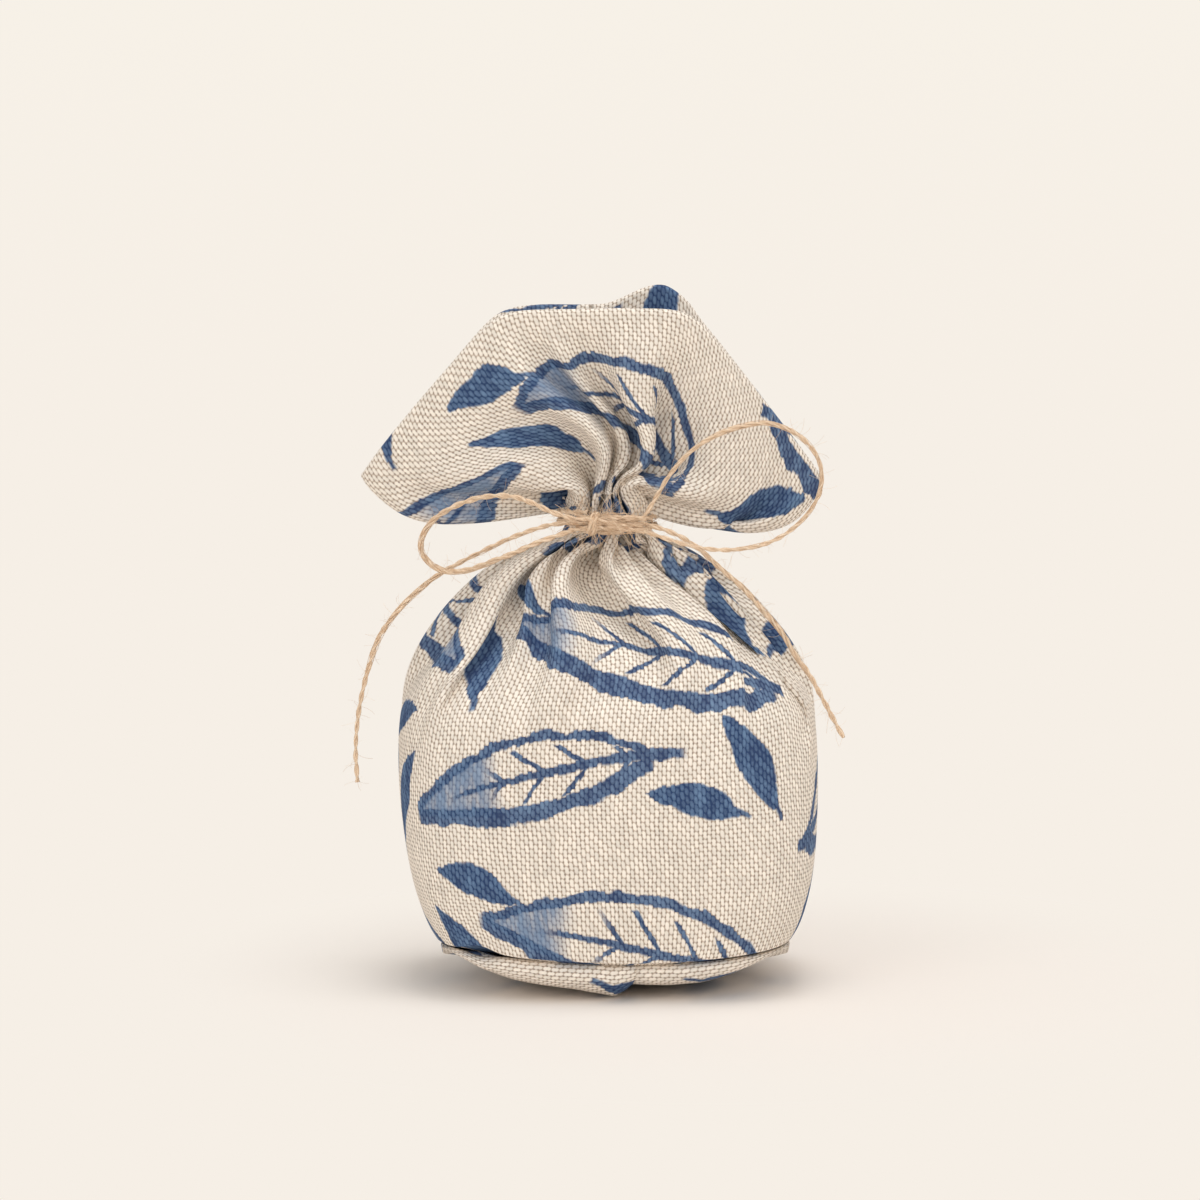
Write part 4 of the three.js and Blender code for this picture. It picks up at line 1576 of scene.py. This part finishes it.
class Tubes:
    """Thin closed tubes that make one piece."""

    def __init__(self, sides: int) -> None:
        """Starts with no tube.

        Args:
            sides: of each one.
        """
        self.sides = sides
        self.count = 0
        self.points: list[np.ndarray] = []
        self.faces: list[Sequence[int]] = []
        self.uv: list[np.ndarray] = []

    def add(
        self, centre: np.ndarray, radius: np.ndarray, axes: tuple[np.ndarray, np.ndarray],
        turn: np.ndarray, v: np.ndarray,
    ) -> None:
        """Adds a tube.

        Args:
            centre: its middle line.
            radius: at each place of the line.
            axes: two directions across the line at each place.
            turn: the angle of its first side at each place.
            v: the UV map's value at each place.
        """
        rows = len(centre)
        angle = TURN * np.arange(self.sides) / self.sides + turn[:, None]
        side, across = axes
        rings = centre[:, None] + radius[:, None, None] * towards(angle, side[:, None], across[:, None])
        first = self.count + np.arange(self.sides)
        last = first + (rows - 1) * self.sides
        self.faces += [*(ring_faces(rows, self.sides) + self.count), first[::-1], last]
        row, column = ring_corners(rows, self.sides)
        caps = np.tile((0.5, 0.0), (2 * self.sides, 1))
        self.uv.append(np.vstack([np.stack([column / self.sides, v[row]], axis=1), caps]))
        self.points.append(rings.reshape(-1, 3))
        self.count += rows * self.sides

    def piece(self, name: str) -> bpy.types.Object:
        """Joins the tubes.

        Args:
            name: of the piece.
        Returns:
            The mesh object, with a UV map named twine.
        """
        made = mesh_object(name, np.concatenate(self.points), self.faces)
        set_uv(made, np.concatenate(self.uv), "twine")
        return made


@dataclass(frozen=True)
class Twine:
    """Two-ply jute twine."""

    ply_radius: float = 0.32 * MM
    ply_offset: float = 0.27 * MM
    lay: float = 5.8 * MM
    spacing: float = 0.3 * MM
    sides: int = 8
    unevenness: float = 0.22
    uneven_step: float = 1.6 * MM
    drift_knots: int = 12
    strand_radius: float = 0.085 * MM
    strand_sides: int = 4
    strand_step: int = 3
    strand_wander: float = 1.6
    strand_v: float = 0.9
    strand_spans: tuple[float, float] = (0.25, 0.7)
    strand_reaches: tuple[float, float] = (0.45, 1.0)
    strand_sizes: tuple[float, float] = (0.5, 1.2)

    def sweep(self, name: str, path: np.ndarray, seed: int, scale: float = 1.0) -> bpy.types.Object:
        """Twists two plies about a path.

        Args:
            name: of the piece.
            path: evenly spaced places.
            seed: of the plies' unevenness.
            scale: thickness, as a share of the usual one.
        Returns:
            The piece, with a UV map of each ply's round and length.
        """
        rng = np.random.default_rng(seed)
        side, across = cross_axes(path)
        length = distances(path)
        drift = uneven(rng, length, -0.5, 0.5, self.drift_knots)
        tubes = Tubes(self.sides)
        for ply in range(2):
            thick = uneven(rng, length, -1, 1, max(4, int(length[-1] / self.uneven_step)))
            radius = self.ply_radius * scale * (1 + self.unevenness * thick)
            turn = TURN * length / self.lay + math.pi * ply + drift
            centre = path + self.ply_offset * scale * towards(turn, side, across)
            tubes.add(centre, radius, (side, across), turn, length / MM)
        return tubes.piece(name)

    def strands(self, name: str, path: np.ndarray, count: int, reach: float, seed: int) -> bpy.types.Object:
        """Loose strands that wander along the twine.

        Args:
            name: of the piece.
            path: the twine's evenly spaced places.
            count: of the strands.
            reach: how far they stand off its middle.
            seed: of their places.
        Returns:
            The piece.
        """
        rng = np.random.default_rng(seed)
        side, across = cross_axes(path)
        tubes = Tubes(self.strand_sides)
        for _ in range(count):
            span = int(len(path) * rng.uniform(*self.strand_spans))
            first = rng.integers(0, len(path) - span)
            picked = np.arange(first, first + span, self.strand_step)
            knots = max(4, len(picked) // 5)
            at = np.linspace(0, 1, len(picked))
            bow = np.sin(math.pi * at) ** 0.3
            wander = np.cumsum(rng.uniform(-self.strand_wander, self.strand_wander, knots))
            turn = np.interp(at, np.linspace(0, 1, knots), wander) + rng.uniform(0, TURN)
            off = reach * uneven(rng, at, *self.strand_reaches, knots) * (0.5 + 0.5 * bow)
            axes = side[picked], across[picked]
            centre = path[picked] + off[:, None] * towards(turn, *axes)
            thick = self.strand_radius * rng.uniform(*self.strand_sizes) * (0.35 + 0.65 * bow)
            tubes.add(centre, thick, axes, np.zeros(len(picked)), np.arange(len(picked)) * self.strand_v)
        return tubes.piece(name)


@dataclass(frozen=True)
class Hairs:
    """How hairy a stretch of twine is: its fibres, as shares of the usual, and its loose strands."""

    reach: float
    strands: int = 9
    density: float = 1.0
    length: float = 1.0


@dataclass(frozen=True)
class Stretch:
    """A free stretch of the twine: its node, its body and its route."""

    node: str
    body: Body
    far_end: str
    places: tuple[Point, ...]
    seed: int
    thickness: float = 1.0


LOOP_Y = -14.35
TAIL_Y = -12.25
TIE_Z = 93.0
STRETCHES = (
    Stretch("bow_loop_left", Body.LOOP_LEFT, "object", (
        (-7, LOOP_Y, 94.1), (-10.5, LOOP_Y - 0.4, 95.2), (-15, LOOP_Y - 1, 97.3), (-19, LOOP_Y - 1.6, 98.6),
        (-23.5, LOOP_Y - 2.2, 98.6), (-28.4, LOOP_Y - 2.8, 97.4), (-33.3, LOOP_Y - 3.3, 94.8),
        (-36, LOOP_Y - 3.6, 91.5), (-36.5, LOOP_Y - 3.8, 88.4), (-35, LOOP_Y - 3.8, 85.8),
        (-32.2, LOOP_Y - 3.7, 84.2), (-27.7, LOOP_Y - 3.4, 84.2), (-23.8, LOOP_Y - 3, 85.5),
        (-18.5, LOOP_Y - 2.4, 87.5), (-12.6, LOOP_Y - 1.4, 89.9), (-7, LOOP_Y, 91.7),
    ), 3),
    Stretch("bow_loop_right", Body.LOOP_RIGHT, "object", (
        (7, LOOP_Y, 94.1), (9.3, LOOP_Y - 0.4, 98), (12.6, LOOP_Y - 1, 103.4), (16.9, LOOP_Y - 1.6, 107.9),
        (21.8, LOOP_Y - 1.9, 110.9), (26.3, LOOP_Y - 2, 112.4), (31.2, LOOP_Y - 2, 113),
        (35.7, LOOP_Y - 2, 111.6), (39.4, LOOP_Y - 2, 108.7), (41.6, LOOP_Y - 2, 104.7),
        (41.8, LOOP_Y - 2, 100.4), (39.8, LOOP_Y - 2, 96), (36.7, LOOP_Y - 2, 92.6), (31.8, LOOP_Y - 2, 89.6),
        (26.3, LOOP_Y - 2, 88.3), (21.5, LOOP_Y - 1.8, 88.1), (17, LOOP_Y - 1.4, 88.7),
        (11.5, LOOP_Y - 0.8, 90.2), (7, LOOP_Y, 91.7),
    ), 5, 0.8),
    Stretch("twine_tail_left", Body.TAIL_LEFT, "bare", (
        (-7, TAIL_Y, TIE_Z), (-11, TAIL_Y + 0.1, 92.7), (-15, TAIL_Y - 0.1, 91.6), (-19, TAIL_Y - 0.5, 90.2),
        (-24, TAIL_Y - 1.1, 87.9), (-28.6, TAIL_Y - 1.7, 85.6), (-33, TAIL_Y - 2.4, 83.2),
        (-37.4, TAIL_Y - 3, 79.8), (-41.1, TAIL_Y - 3.3, 76.2), (-44.7, TAIL_Y - 3.5, 71.2),
        (-47.7, TAIL_Y - 3.3, 62.4), (-49.3, TAIL_Y - 3, 54.2), (-49.7, TAIL_Y - 2.8, 48.2),
        (-49.4, TAIL_Y - 2.6, 41.9),
    ), 7, 0.85),
    Stretch("twine_tail_right", Body.TAIL_RIGHT, "bare", (
        (7, TAIL_Y, TIE_Z), (11, TAIL_Y - 0.1, 91.8), (15, TAIL_Y - 0.2, 90), (18.6, TAIL_Y - 0.3, 87.4),
        (21.6, TAIL_Y - 0.5, 84.6), (24.8, TAIL_Y - 0.8, 81.9), (27.8, TAIL_Y - 1.1, 79),
        (30.3, TAIL_Y - 1.3, 76.2), (34.1, TAIL_Y - 1.6, 71.8), (37.4, TAIL_Y - 1.8, 66.5),
        (39.8, TAIL_Y - 1.9, 63.2), (41.8, TAIL_Y - 2, 59.6), (44, TAIL_Y - 2, 55.4),
        (46.6, TAIL_Y - 1.9, 50.7),
    ), 9, 0.9),
)


class Fuzz:
    """Stray fibres on the twine, spread over it by Geometry Nodes."""

    def __init__(self, finish: bpy.types.Material) -> None:
        """Builds the node tree.

        Args:
            finish: of the fibres.
        """
        self.finish = finish
        self.tree = bpy.data.node_groups.new("stray_fibres", "GeometryNodeTree")
        self.sockets = {}
        sockets = self.tree.interface
        sockets.new_socket("Geometry", in_out="OUTPUT", socket_type="NodeSocketGeometry")
        kinds = {"Geometry": "Geometry", "Density": "Float", "Length": "Float", "Seed": "Int"}
        for name, kind in kinds.items():
            made = sockets.new_socket(name, in_out="INPUT", socket_type="NodeSocket" + kind)
            self.sockets[name] = made.identifier
        self.fill()

    def add(self, kind: str, settings: dict[str, object] | None = None, **values: object) -> bpy.types.Node:
        """Adds a node.

        Args:
            kind: its type.
            settings: its properties.
            values: of its inputs, with _ for each space, as numbers or other nodes' outputs.
        Returns:
            The node.
        """
        made = self.tree.nodes.new(kind)
        for name, value in (settings or {}).items():
            setattr(made, name, value)
        for name, value in values.items():
            socket = next(s for s in made.inputs if s.name.replace(" ", "_") == name and s.enabled)
            if isinstance(value, bpy.types.NodeSocket):
                self.tree.links.new(value, socket)
            else:
                socket.default_value = value
        return made

    def fill(self) -> None:
        """Adds the nodes: points on the plies, a bent fibre on each, tilted and sized at random."""
        inputs = self.tree.nodes.new("NodeGroupInput")
        points = self.add(
            "GeometryNodeDistributePointsOnFaces", None,
            Mesh=inputs.outputs["Geometry"], Density=inputs.outputs["Density"], Seed=inputs.outputs["Seed"],
        )
        bend = self.add(
            "GeometryNodeCurveQuadraticBezier", None,
            Resolution=4, Start=(0.0, 0.0, 0.0), Middle=(0.25, 0.0, 0.5), End=(0.1, 0.3, 1.0),
        )
        ring = self.add("GeometryNodeCurvePrimitiveCircle", {"mode": "RADIUS"}, Resolution=3, Radius=0.0075)
        fibre = self.add(
            "GeometryNodeCurveToMesh", None,
            Curve=bend.outputs["Curve"], Profile_Curve=ring.outputs["Curve"], Fill_Caps=True,
        )
        tilt = self.add(
            "FunctionNodeRandomValue", {"data_type": "FLOAT_VECTOR"},
            Min=(-1.25, -1.25, -3.1), Max=(1.25, 1.25, 3.1), Seed=inputs.outputs["Seed"],
        )
        size = self.add("FunctionNodeRandomValue", {"data_type": "FLOAT"}, Min=0.25, Max=1.0, Seed=4)
        times = self.add("ShaderNodeMath", {"operation": "MULTIPLY"})
        self.tree.links.new(size.outputs[1], times.inputs[0])
        self.tree.links.new(inputs.outputs["Length"], times.inputs[1])
        placed = self.add(
            "GeometryNodeInstanceOnPoints", None,
            Points=points.outputs["Points"], Instance=fibre.outputs["Mesh"],
            Rotation=points.outputs["Rotation"], Scale=times.outputs[0],
        )
        turned = self.add(
            "GeometryNodeRotateInstances", None,
            Instances=placed.outputs["Instances"], Rotation=tilt.outputs[0],
        )
        real = self.add("GeometryNodeRealizeInstances", None, Geometry=turned.outputs["Instances"])
        dressed = self.add(
            "GeometryNodeSetMaterial", None, Geometry=real.outputs["Geometry"], Material=self.finish,
        )
        outputs = self.tree.nodes.new("NodeGroupOutput")
        self.tree.links.new(dressed.outputs["Geometry"], outputs.inputs[0])

    def grow(self, piece: bpy.types.Object, density: float, length: float, seed: int) -> bpy.types.Object:
        """Grows fibres on a piece, as a mesh of their own.

        Args:
            piece: a mesh object.
            density: fibres in a square metre.
            length: of the longest ones.
            seed: of their places.
        Returns:
            The fibres' object.
        """
        modifier = piece.modifiers.new("fibres", "NODES")
        modifier.node_group = self.tree
        for name, value in (("Density", density), ("Length", length), ("Seed", seed)):
            modifier[self.sockets[name]] = value
        graph = bpy.context.evaluated_depsgraph_get()
        mesh = bpy.data.meshes.new_from_object(piece.evaluated_get(graph))
        piece.modifiers.remove(modifier)
        made = bpy.data.objects.new(piece.name + "_fuzz", mesh)
        bpy.context.scene.collection.objects.link(made)
        return made


@dataclass
class Bow:
    """The twine: turns round the neck, the knot, two loops and two tails, all with stray fibres.

    The knot's strands and the wrap round them are in millimetres.
    """

    jute: bpy.types.Material
    twine: Twine = field(default_factory=Twine)
    diameter: float = 1.5 * MM
    turn_radius: float = 9.6 * MM
    half_turns: float = 0.93
    turn_places: int = 460
    pitch: float = 2.0 * MM
    fuzz_density: float = 4.5e5
    fuzz_length: float = 3.6 * MM
    strand_reach: float = 0.72 * MM
    strand_seed: int = 50
    neck_seed: int = 31
    neck_hairs: Hairs = Hairs(0.75 * MM, density=0.5)
    knot_seed: int = 20
    knot_thickness: float = 0.9
    knot_hairs: Hairs = Hairs(1.1 * MM, 10, 1.5, 1.9)
    knot_strands: tuple[tuple[Point, ...], ...] = (
        ((-7.6, -14.4, 94.2), (-4, -15.0, 94.0), (0, -15.1, 93.4), (3.6, -14.4, 92.7), (7.6, -12.2, 93.0)),
        ((7.6, -14.4, 94.2), (4.2, -14.6, 94.3), (0.6, -14.3, 94.2), (-3.6, -13.4, 93.5), (-7.6, -12.2, 93)),
        ((-7.6, -14.4, 91.7), (-4.2, -15.0, 92.2), (0, -15.1, 92.3), (4, -14.8, 92.0), (7.6, -14.4, 91.6)),
        ((-6.2, -13.0, 92.6), (-2, -13.7, 91.7), (2, -13.7, 91.6), (6.2, -13.1, 92.2)),
        ((-5.8, -12.3, 93.6), (0, -12.3, 94.3), (5.8, -12.4, 93.7)),
        ((-7.0, -13.6, 93.1), (-3, -14.4, 93.3), (2, -14.9, 92.9), (7.0, -13.8, 92.6)),
    )
    wrap_turns: tuple[float, float] = (-0.15, 1.3)
    wrap_middle: Point = (-3.4, -13.5, TIE_Z - 0.1)
    wrap_radii: tuple[float, float] = (2.1, 1.95)
    wrap_advance: float = 1.1
    wrap_sway: float = 0.35
    wrap_places: int = 60

    def __post_init__(self) -> None:
        """Makes the fibres' node tree."""
        self.fuzz = Fuzz(self.jute)

    def build(self) -> None:
        """Makes every piece of the twine."""
        for stretch in STRETCHES:
            self.stretch(stretch)
        self.knot()
        self.turns()

    def lay(
        self, names: tuple[str, str], path: np.ndarray, seed: int, thickness: float, hairs: Hairs,
        body: Body, node: str,
    ) -> tuple[bpy.types.Object, bpy.types.Object, bpy.types.Object]:
        """Lays twine along a path, with its stray fibres and loose strands.

        Args:
            names: of the twine and of its loose strands.
            path: evenly spaced places.
            seed: of its unevenness.
            thickness: as a share of the usual one.
            hairs: how hairy it is.
            body: the body that it rides on.
            node: the frame's node that it stands for.
        Returns:
            The twine, its fibres and its strands.
        """
        piece = self.twine.sweep(names[0], path, seed, thickness)
        piece.data.materials.append(self.jute)
        density, length = hairs.density * self.fuzz_density, hairs.length * self.fuzz_length
        fibres = self.fuzz.grow(piece, density, length, seed)
        loose = self.twine.strands(names[1], path, hairs.strands, hairs.reach, seed + self.strand_seed)
        loose.data.materials.append(self.jute)
        give_frame(piece, Slot.JUTE, body, node)
        give_frame(fibres, Slot.JUTE, body)
        give_frame(loose, Slot.JUTE, body)
        return piece, fibres, loose

    def stretch(self, stretch: Stretch) -> None:
        """Args:
            stretch: its node, body and route.
        """
        path = along_route(stretch.places, self.twine.spacing)
        names = stretch.node + "_twine", stretch.node + "_strands"
        hairs = Hairs(self.strand_reach * stretch.thickness)
        piece, fibres, loose = self.lay(
            names, path, stretch.seed, stretch.thickness, hairs, stretch.body, stretch.node,
        )
        self.diameter * stretch.thickness

    def knot(self) -> None:
        """The knot: strands that cross it from side to side, and a wrap round them left of its middle."""
        strands = [along_route(places, self.twine.spacing) for places in self.knot_strands]
        angle = TURN * np.linspace(*self.wrap_turns, self.wrap_places)
        x, y, z = self.wrap_middle
        wrap = np.stack([
            x + self.wrap_advance * angle / angle[-1] + self.wrap_sway * np.sin(angle),
            y - self.wrap_radii[0] * np.cos(angle),
            z + self.wrap_radii[1] * np.sin(angle),
        ], axis=1)
        for i, path in enumerate([*strands, wrap * MM]):
            names = f"knot_strand_{i + 1}", f"knot_strands_{i + 1}"
            seed = self.knot_seed + i
            self.lay(names, path, seed, self.knot_thickness, self.knot_hairs, Body.POUCH, "bow_knot")

    def turns(self) -> None:
        """The turns round the neck, as one helix whose ends run in behind the knot."""
        turn = np.linspace(-self.half_turns, self.half_turns, self.turn_places)
        angle = -TURN / 4 + TURN * turn
        x, y = self.turn_radius * np.cos(angle), self.turn_radius * np.sin(angle)
        path = np.stack([x, y, TIE_Z * MM + self.pitch * turn], axis=1)
        names = "neck_turns", "neck_strands"
        self.lay(names, path, self.neck_seed, 1.0, self.neck_hairs, Body.POUCH, "neck_windings")


# The finishes


@dataclass(frozen=True)
class Leaf:
    """A painted leaf of the print: its place in the repeat and its sizes in millimetres, and its turn."""

    x: float
    y: float
    angle: float
    half_length: float
    half_width: float
    stroke: float
    wash: float


@dataclass(frozen=True)
class Linen:
    """Coarse plain-woven linen, printed with indigo leaves on its outer face, with shade painted into the low
    parts of its weave.
    """

    name: str
    has_print: bool
    column: float = 0.85
    row: float = 0.82
    lean: float = 0.22
    wander: float = 0.9
    vein_spacing: float = 8.5
    least_veined: float = 12.0
    seam_at: float = 246.0
    repeat_width: float = 80.0
    repeat_height: float = 58.0
    grain: Colour = srgb(250, 241, 229)
    # under: painted shade, the colour of the weave's low parts between the grains
    under: Colour = srgb(200, 182, 164)
    # gap: painted shade in the pits at the grains' narrow ends; it also darkens the back seam's line
    gap: Colour = srgb(126, 107, 89)
    ink_dark: Colour = srgb(44, 66, 106)
    ink_light: Colour = srgb(124, 154, 188)
    leaves: tuple[Leaf, ...] = (
        Leaf(-6, 10, 13, 33, 9.2, 3.3, 0.40), Leaf(16, -15, -14, 25, 7.0, 3.0, 0.15),
        Leaf(-29, -12, 58, 10.5, 3.5, 1.8, -1.2), Leaf(-17, -19, 14, 9.5, 3.2, 1.8, -1.2),
        Leaf(33, 9, 66, 10.0, 3.4, 1.8, -1.2), Leaf(27, 23, 20, 8.5, 3.0, 1.8, -1.2),
    )

    def build(self) -> bpy.types.Material:
        """Makes the material.

        Returns:
            The finish.
        """
        shader = Shader(self.name)
        place = shader.node("ShaderNodeUVMap", {"uv_map": "cloth"})
        u, v, _ = shader.split(place)
        whole = u * (UV_UNIT / MM)
        u = whole + shader.noise(place, 16.0) * self.wander
        v = v * (UV_UNIT / MM) + shader.noise(place, 13.0) * self.wander
        column = (u / self.column).floor()
        rise = v / (2 * self.row) + column.odd() * 0.5
        number = rise.floor()
        along = abs(rise - number - 0.5)
        across = abs(u / self.column - column - 0.5)
        leant = abs(u / self.column - column - 0.5 + (rise - number - 0.5) * self.lean)
        height = (1.0 - (leant * 1.95) ** 2.0 - (along * 1.95) ** 2.5).sqrt()
        cell = shader.vector(column, number)
        random = shader.node("ShaderNodeTexWhiteNoise", {"noise_dimensions": "2D"}, {"Vector": cell})
        streaks = shader.noise(shader.vector(u * 1.1, v * 0.04), 1.0)
        slubs = shader.noise(shader.vector(u * 0.04, v * 1.1), 1.0)
        # Grain tops take the grain colour and the low parts between them the under colour: painted shade in
        # the weave's hollows.
        colour = shader.mix(height.step(0.05, 0.85), self.under, self.grain)
        # Dark pits at the grains' narrow ends: painted shade, mixed towards the gap colour.
        corner = (across * 2.0) ** 4.0 * ((along * (4 * math.pi)).cos() * 0.5 + 0.5) ** 1.6
        pit = corner * (shader.noise(cell, 0.37, 1.0) * 2.8 - 0.4)
        colour = shader.mix(pit.most(0.0).least(0.95), colour, self.gap)
        tone = random * 0.14 + streaks * 0.18 + slubs * 0.14 + 0.77
        grey = shader.node("ShaderNodeCombineColor", None, [tone] * 3)
        colour = shader.mix(1.0, colour, grey, "MULTIPLY")
        if self.has_print:
            colour = self.printed(shader, colour, (u, v), (column, number), height, random)
        from_seam = self.seam_at / 2 - abs(whole - self.seam_at / 2)
        seam = from_seam.step(0.7, 0.2)
        colour = shader.mix(seam * 0.6, colour, self.gap)
        relief = height + random * 0.1 - seam * 2.0
        return shader.finish(colour, 0.92, 0.18, shader.bump(0.6, 0.2 * MM, relief))

    def printed(
        self, shader: Shader, colour: Wire, place: tuple[Wire, Wire], cell: tuple[Wire, Wire],
        height: Wire, random: Wire,
    ) -> Wire:
        """The cloth's colour with the print on it, whose edges follow the grains of the weave, and whose ink
        has painted shade in the weave's low parts.

        Args:
            shader: the material.
            colour: of the plain cloth.
            place: millimetres round the cloth and up it.
            cell: the grain's column and number.
            height: of the weave.
            random: a number for each grain.
        Returns:
            The colour.
        """
        u, v = place
        column, number = cell
        middle_u = (column + 0.5) * self.column
        middle_v = (number + 0.5 - column.odd() * 0.5) * (2 * self.row)
        pushed = random * 0.3 - 0.15
        print_u = u * 0.75 + middle_u * 0.25 + pushed
        print_v = v * 0.85 + middle_v * 0.15 - pushed
        wobble = shader.noise(shader.vector(print_u * 0.22, print_v * 0.22), 1.0, 3.0)
        stroke, wash = self.pattern(print_u, print_v, wobble)
        patches = shader.noise(shader.vector(print_u * 0.35, print_v * 0.12), 1.0, 4.0, 0.62)
        flecks = shader.noise(shader.vector(u * 1.6, v * 1.6), 1.0)
        # The weave's height makes the ink lighter on the grains' tops and darker between them: painted shade;
        # the patches, flecks and each grain's random number are the ink's own unevenness.
        depth = patches * 1.5 + height * 0.5 + random * 0.3 + flecks * 0.6 - 1.25
        ink = shader.mix(depth.most(0.0).least(1.0), self.ink_dark, self.ink_light)
        pale = shader.mix(0.5, ink, self.ink_light)
        cover = (wash * (patches.step(0.3, 0.6) * 0.35 + 0.55)).least(1.0)
        return shader.mix(stroke * 0.97, shader.mix(cover, colour, pale), ink)

    def pattern(self, u: Wire, v: Wire, wobble: Wire) -> tuple[Wire, Wire]:
        """The print at a place of the cloth: leaves in a half-drop repeat, every other column mirrored.

        Args:
            u: millimetres round the cloth.
            v: millimetres up it.
            wobble: noise that makes the strokes uneven.
        Returns:
            How much of a stroke covers the place, and how much of a wash.
        """
        column = (u / self.repeat_width).floor()
        odd = column.odd()
        x = u - (column + 0.5) * self.repeat_width
        lowered = v + odd * (self.repeat_height / 2) + 8.0
        y = lowered - ((lowered / self.repeat_height).floor() + 0.5) * self.repeat_height
        x = x * (1.0 - odd * 2.0)
        stroke, wash = None, None
        for leaf in self.leaves:
            mine, fill = self.leaf(leaf, x, y, wobble)
            stroke = mine if stroke is None else stroke.most(mine)
            wash = fill if wash is None else wash.most(fill)
        return stroke, wash

    def leaf(self, leaf: Leaf, x: Wire, y: Wire, wobble: Wire) -> tuple[Wire, Wire]:
        """One leaf: its outline, its midrib and stem, its veins and a wash from its tip.

        Args:
            leaf: its sizes.
            x, y: millimetres in the repeat.
            wobble: noise that makes the strokes uneven.
        Returns:
            Its strokes and its wash.
        """
        cos, sin = math.cos(math.radians(leaf.angle)), math.sin(math.radians(leaf.angle))
        dx, dy = x - leaf.x, y - leaf.y
        along = (dx * cos + dy * sin) / leaf.half_length
        across = dy * cos - dx * sin + (along * along) * (0.35 * leaf.half_width) - 0.12 * leaf.half_width
        inside = (1.0 - along * along).most(0.0)
        width = inside.sqrt() * (inside * 0.55 + 0.45) * (along * -0.18 + 1.0) * leaf.half_width
        width = width + (wobble - 0.5) * 2.4
        heavy = across.step(1.0, -1.0) * 0.5 + 0.7
        thick = (wobble * 1.1 + 0.35) * leaf.stroke * heavy
        within = abs(along).step(1.03, 0.98)
        edge = (abs(abs(across) - width) - thick * 0.5).step(0.25, -0.25) * within
        taper = along.step(0.9, -0.9) * 0.7 + 0.3
        reach = along.step(-1.3, -1.22) * along.step(0.68, 0.5)
        rib = (abs(across + along * 0.6) - thick * taper * 0.42).step(0.25, -0.25) * reach
        filled = (abs(across) - width).step(0.3, -0.3) * within
        wash = filled * along.step(leaf.wash, leaf.wash + 0.22)
        if leaf.half_length < self.least_veined:
            return filled.most(rib), wash
        slant = (along * leaf.half_length - abs(across) * 1.1) / self.vein_spacing
        from_line = abs(slant - slant.floor() - 0.5) * self.vein_spacing
        vein = (from_line - wobble * 1.1 - 0.1).step(0.25, -0.2) * filled * along.step(0.35, 0.2)
        return edge.most(rib).most(vein * (abs(across) - width * 0.72).step(0.3, -0.3)), wash


@dataclass(frozen=True)
class Jute:
    """Pale brown jute fibre."""

    light: Colour = srgb(253, 232, 206)
    dark: Colour = srgb(210, 174, 138)

    def build(self) -> bpy.types.Material:
        """Makes the material.

        Returns:
            The finish.
        """
        shader = Shader("jute")
        place = shader.node("ShaderNodeUVMap", {"uv_map": "twine"})
        u, v, _ = shader.split(place)
        fibres = shader.noise(shader.vector(u * 9.0 + v * 0.8, v * 0.35), 1.6, 3.0)
        colour = shader.mix(fibres.step(0.32, 0.68), self.dark, self.light)
        return shader.finish(colour, 0.8, 0.25, shader.bump(0.5, 0.1 * MM, fibres))


@dataclass(frozen=True)
class Grain:
    """The heap of loose grain that fills the pouch."""

    size: float = 2.6 * MM
    husk: Colour = srgb(196, 160, 112)
    shade: Colour = srgb(110, 82, 52)

    def build(self) -> bpy.types.Material:
        """Makes the material.

        Returns:
            The finish.
        """
        shader = Shader("loose_grain")
        place = shader.node("ShaderNodeTexCoord", output="Object")
        cells = shader.node("ShaderNodeTexVoronoi", None, {"Vector": place, "Scale": 1 / self.size})
        colour = shader.mix(cells.step(0.65, 0.25), self.shade, self.husk)
        return shader.finish(colour, 0.85, 0.3, shader.bump(0.8, 1 * MM, 1.0 - cells))


def main() -> None:
    """Builds the studio and the pouch's pieces."""
    logging.basicConfig(level=logging.INFO, format="%(name)s: %(message)s")
    bpy.context.scene.view_settings.view_transform = "Standard"
    Camera().build()
    Studio().build()
    cloth = Linen("printed_linen", has_print=True).build()
    back = Linen("linen_back", has_print=False).build()
    PouchCloth().build(cloth, back)
    for flap in FLAPS:
        flap.build(Filled(), cloth)
    Bow(Jute().build()).build()


if __name__ == "__main__":
    main()
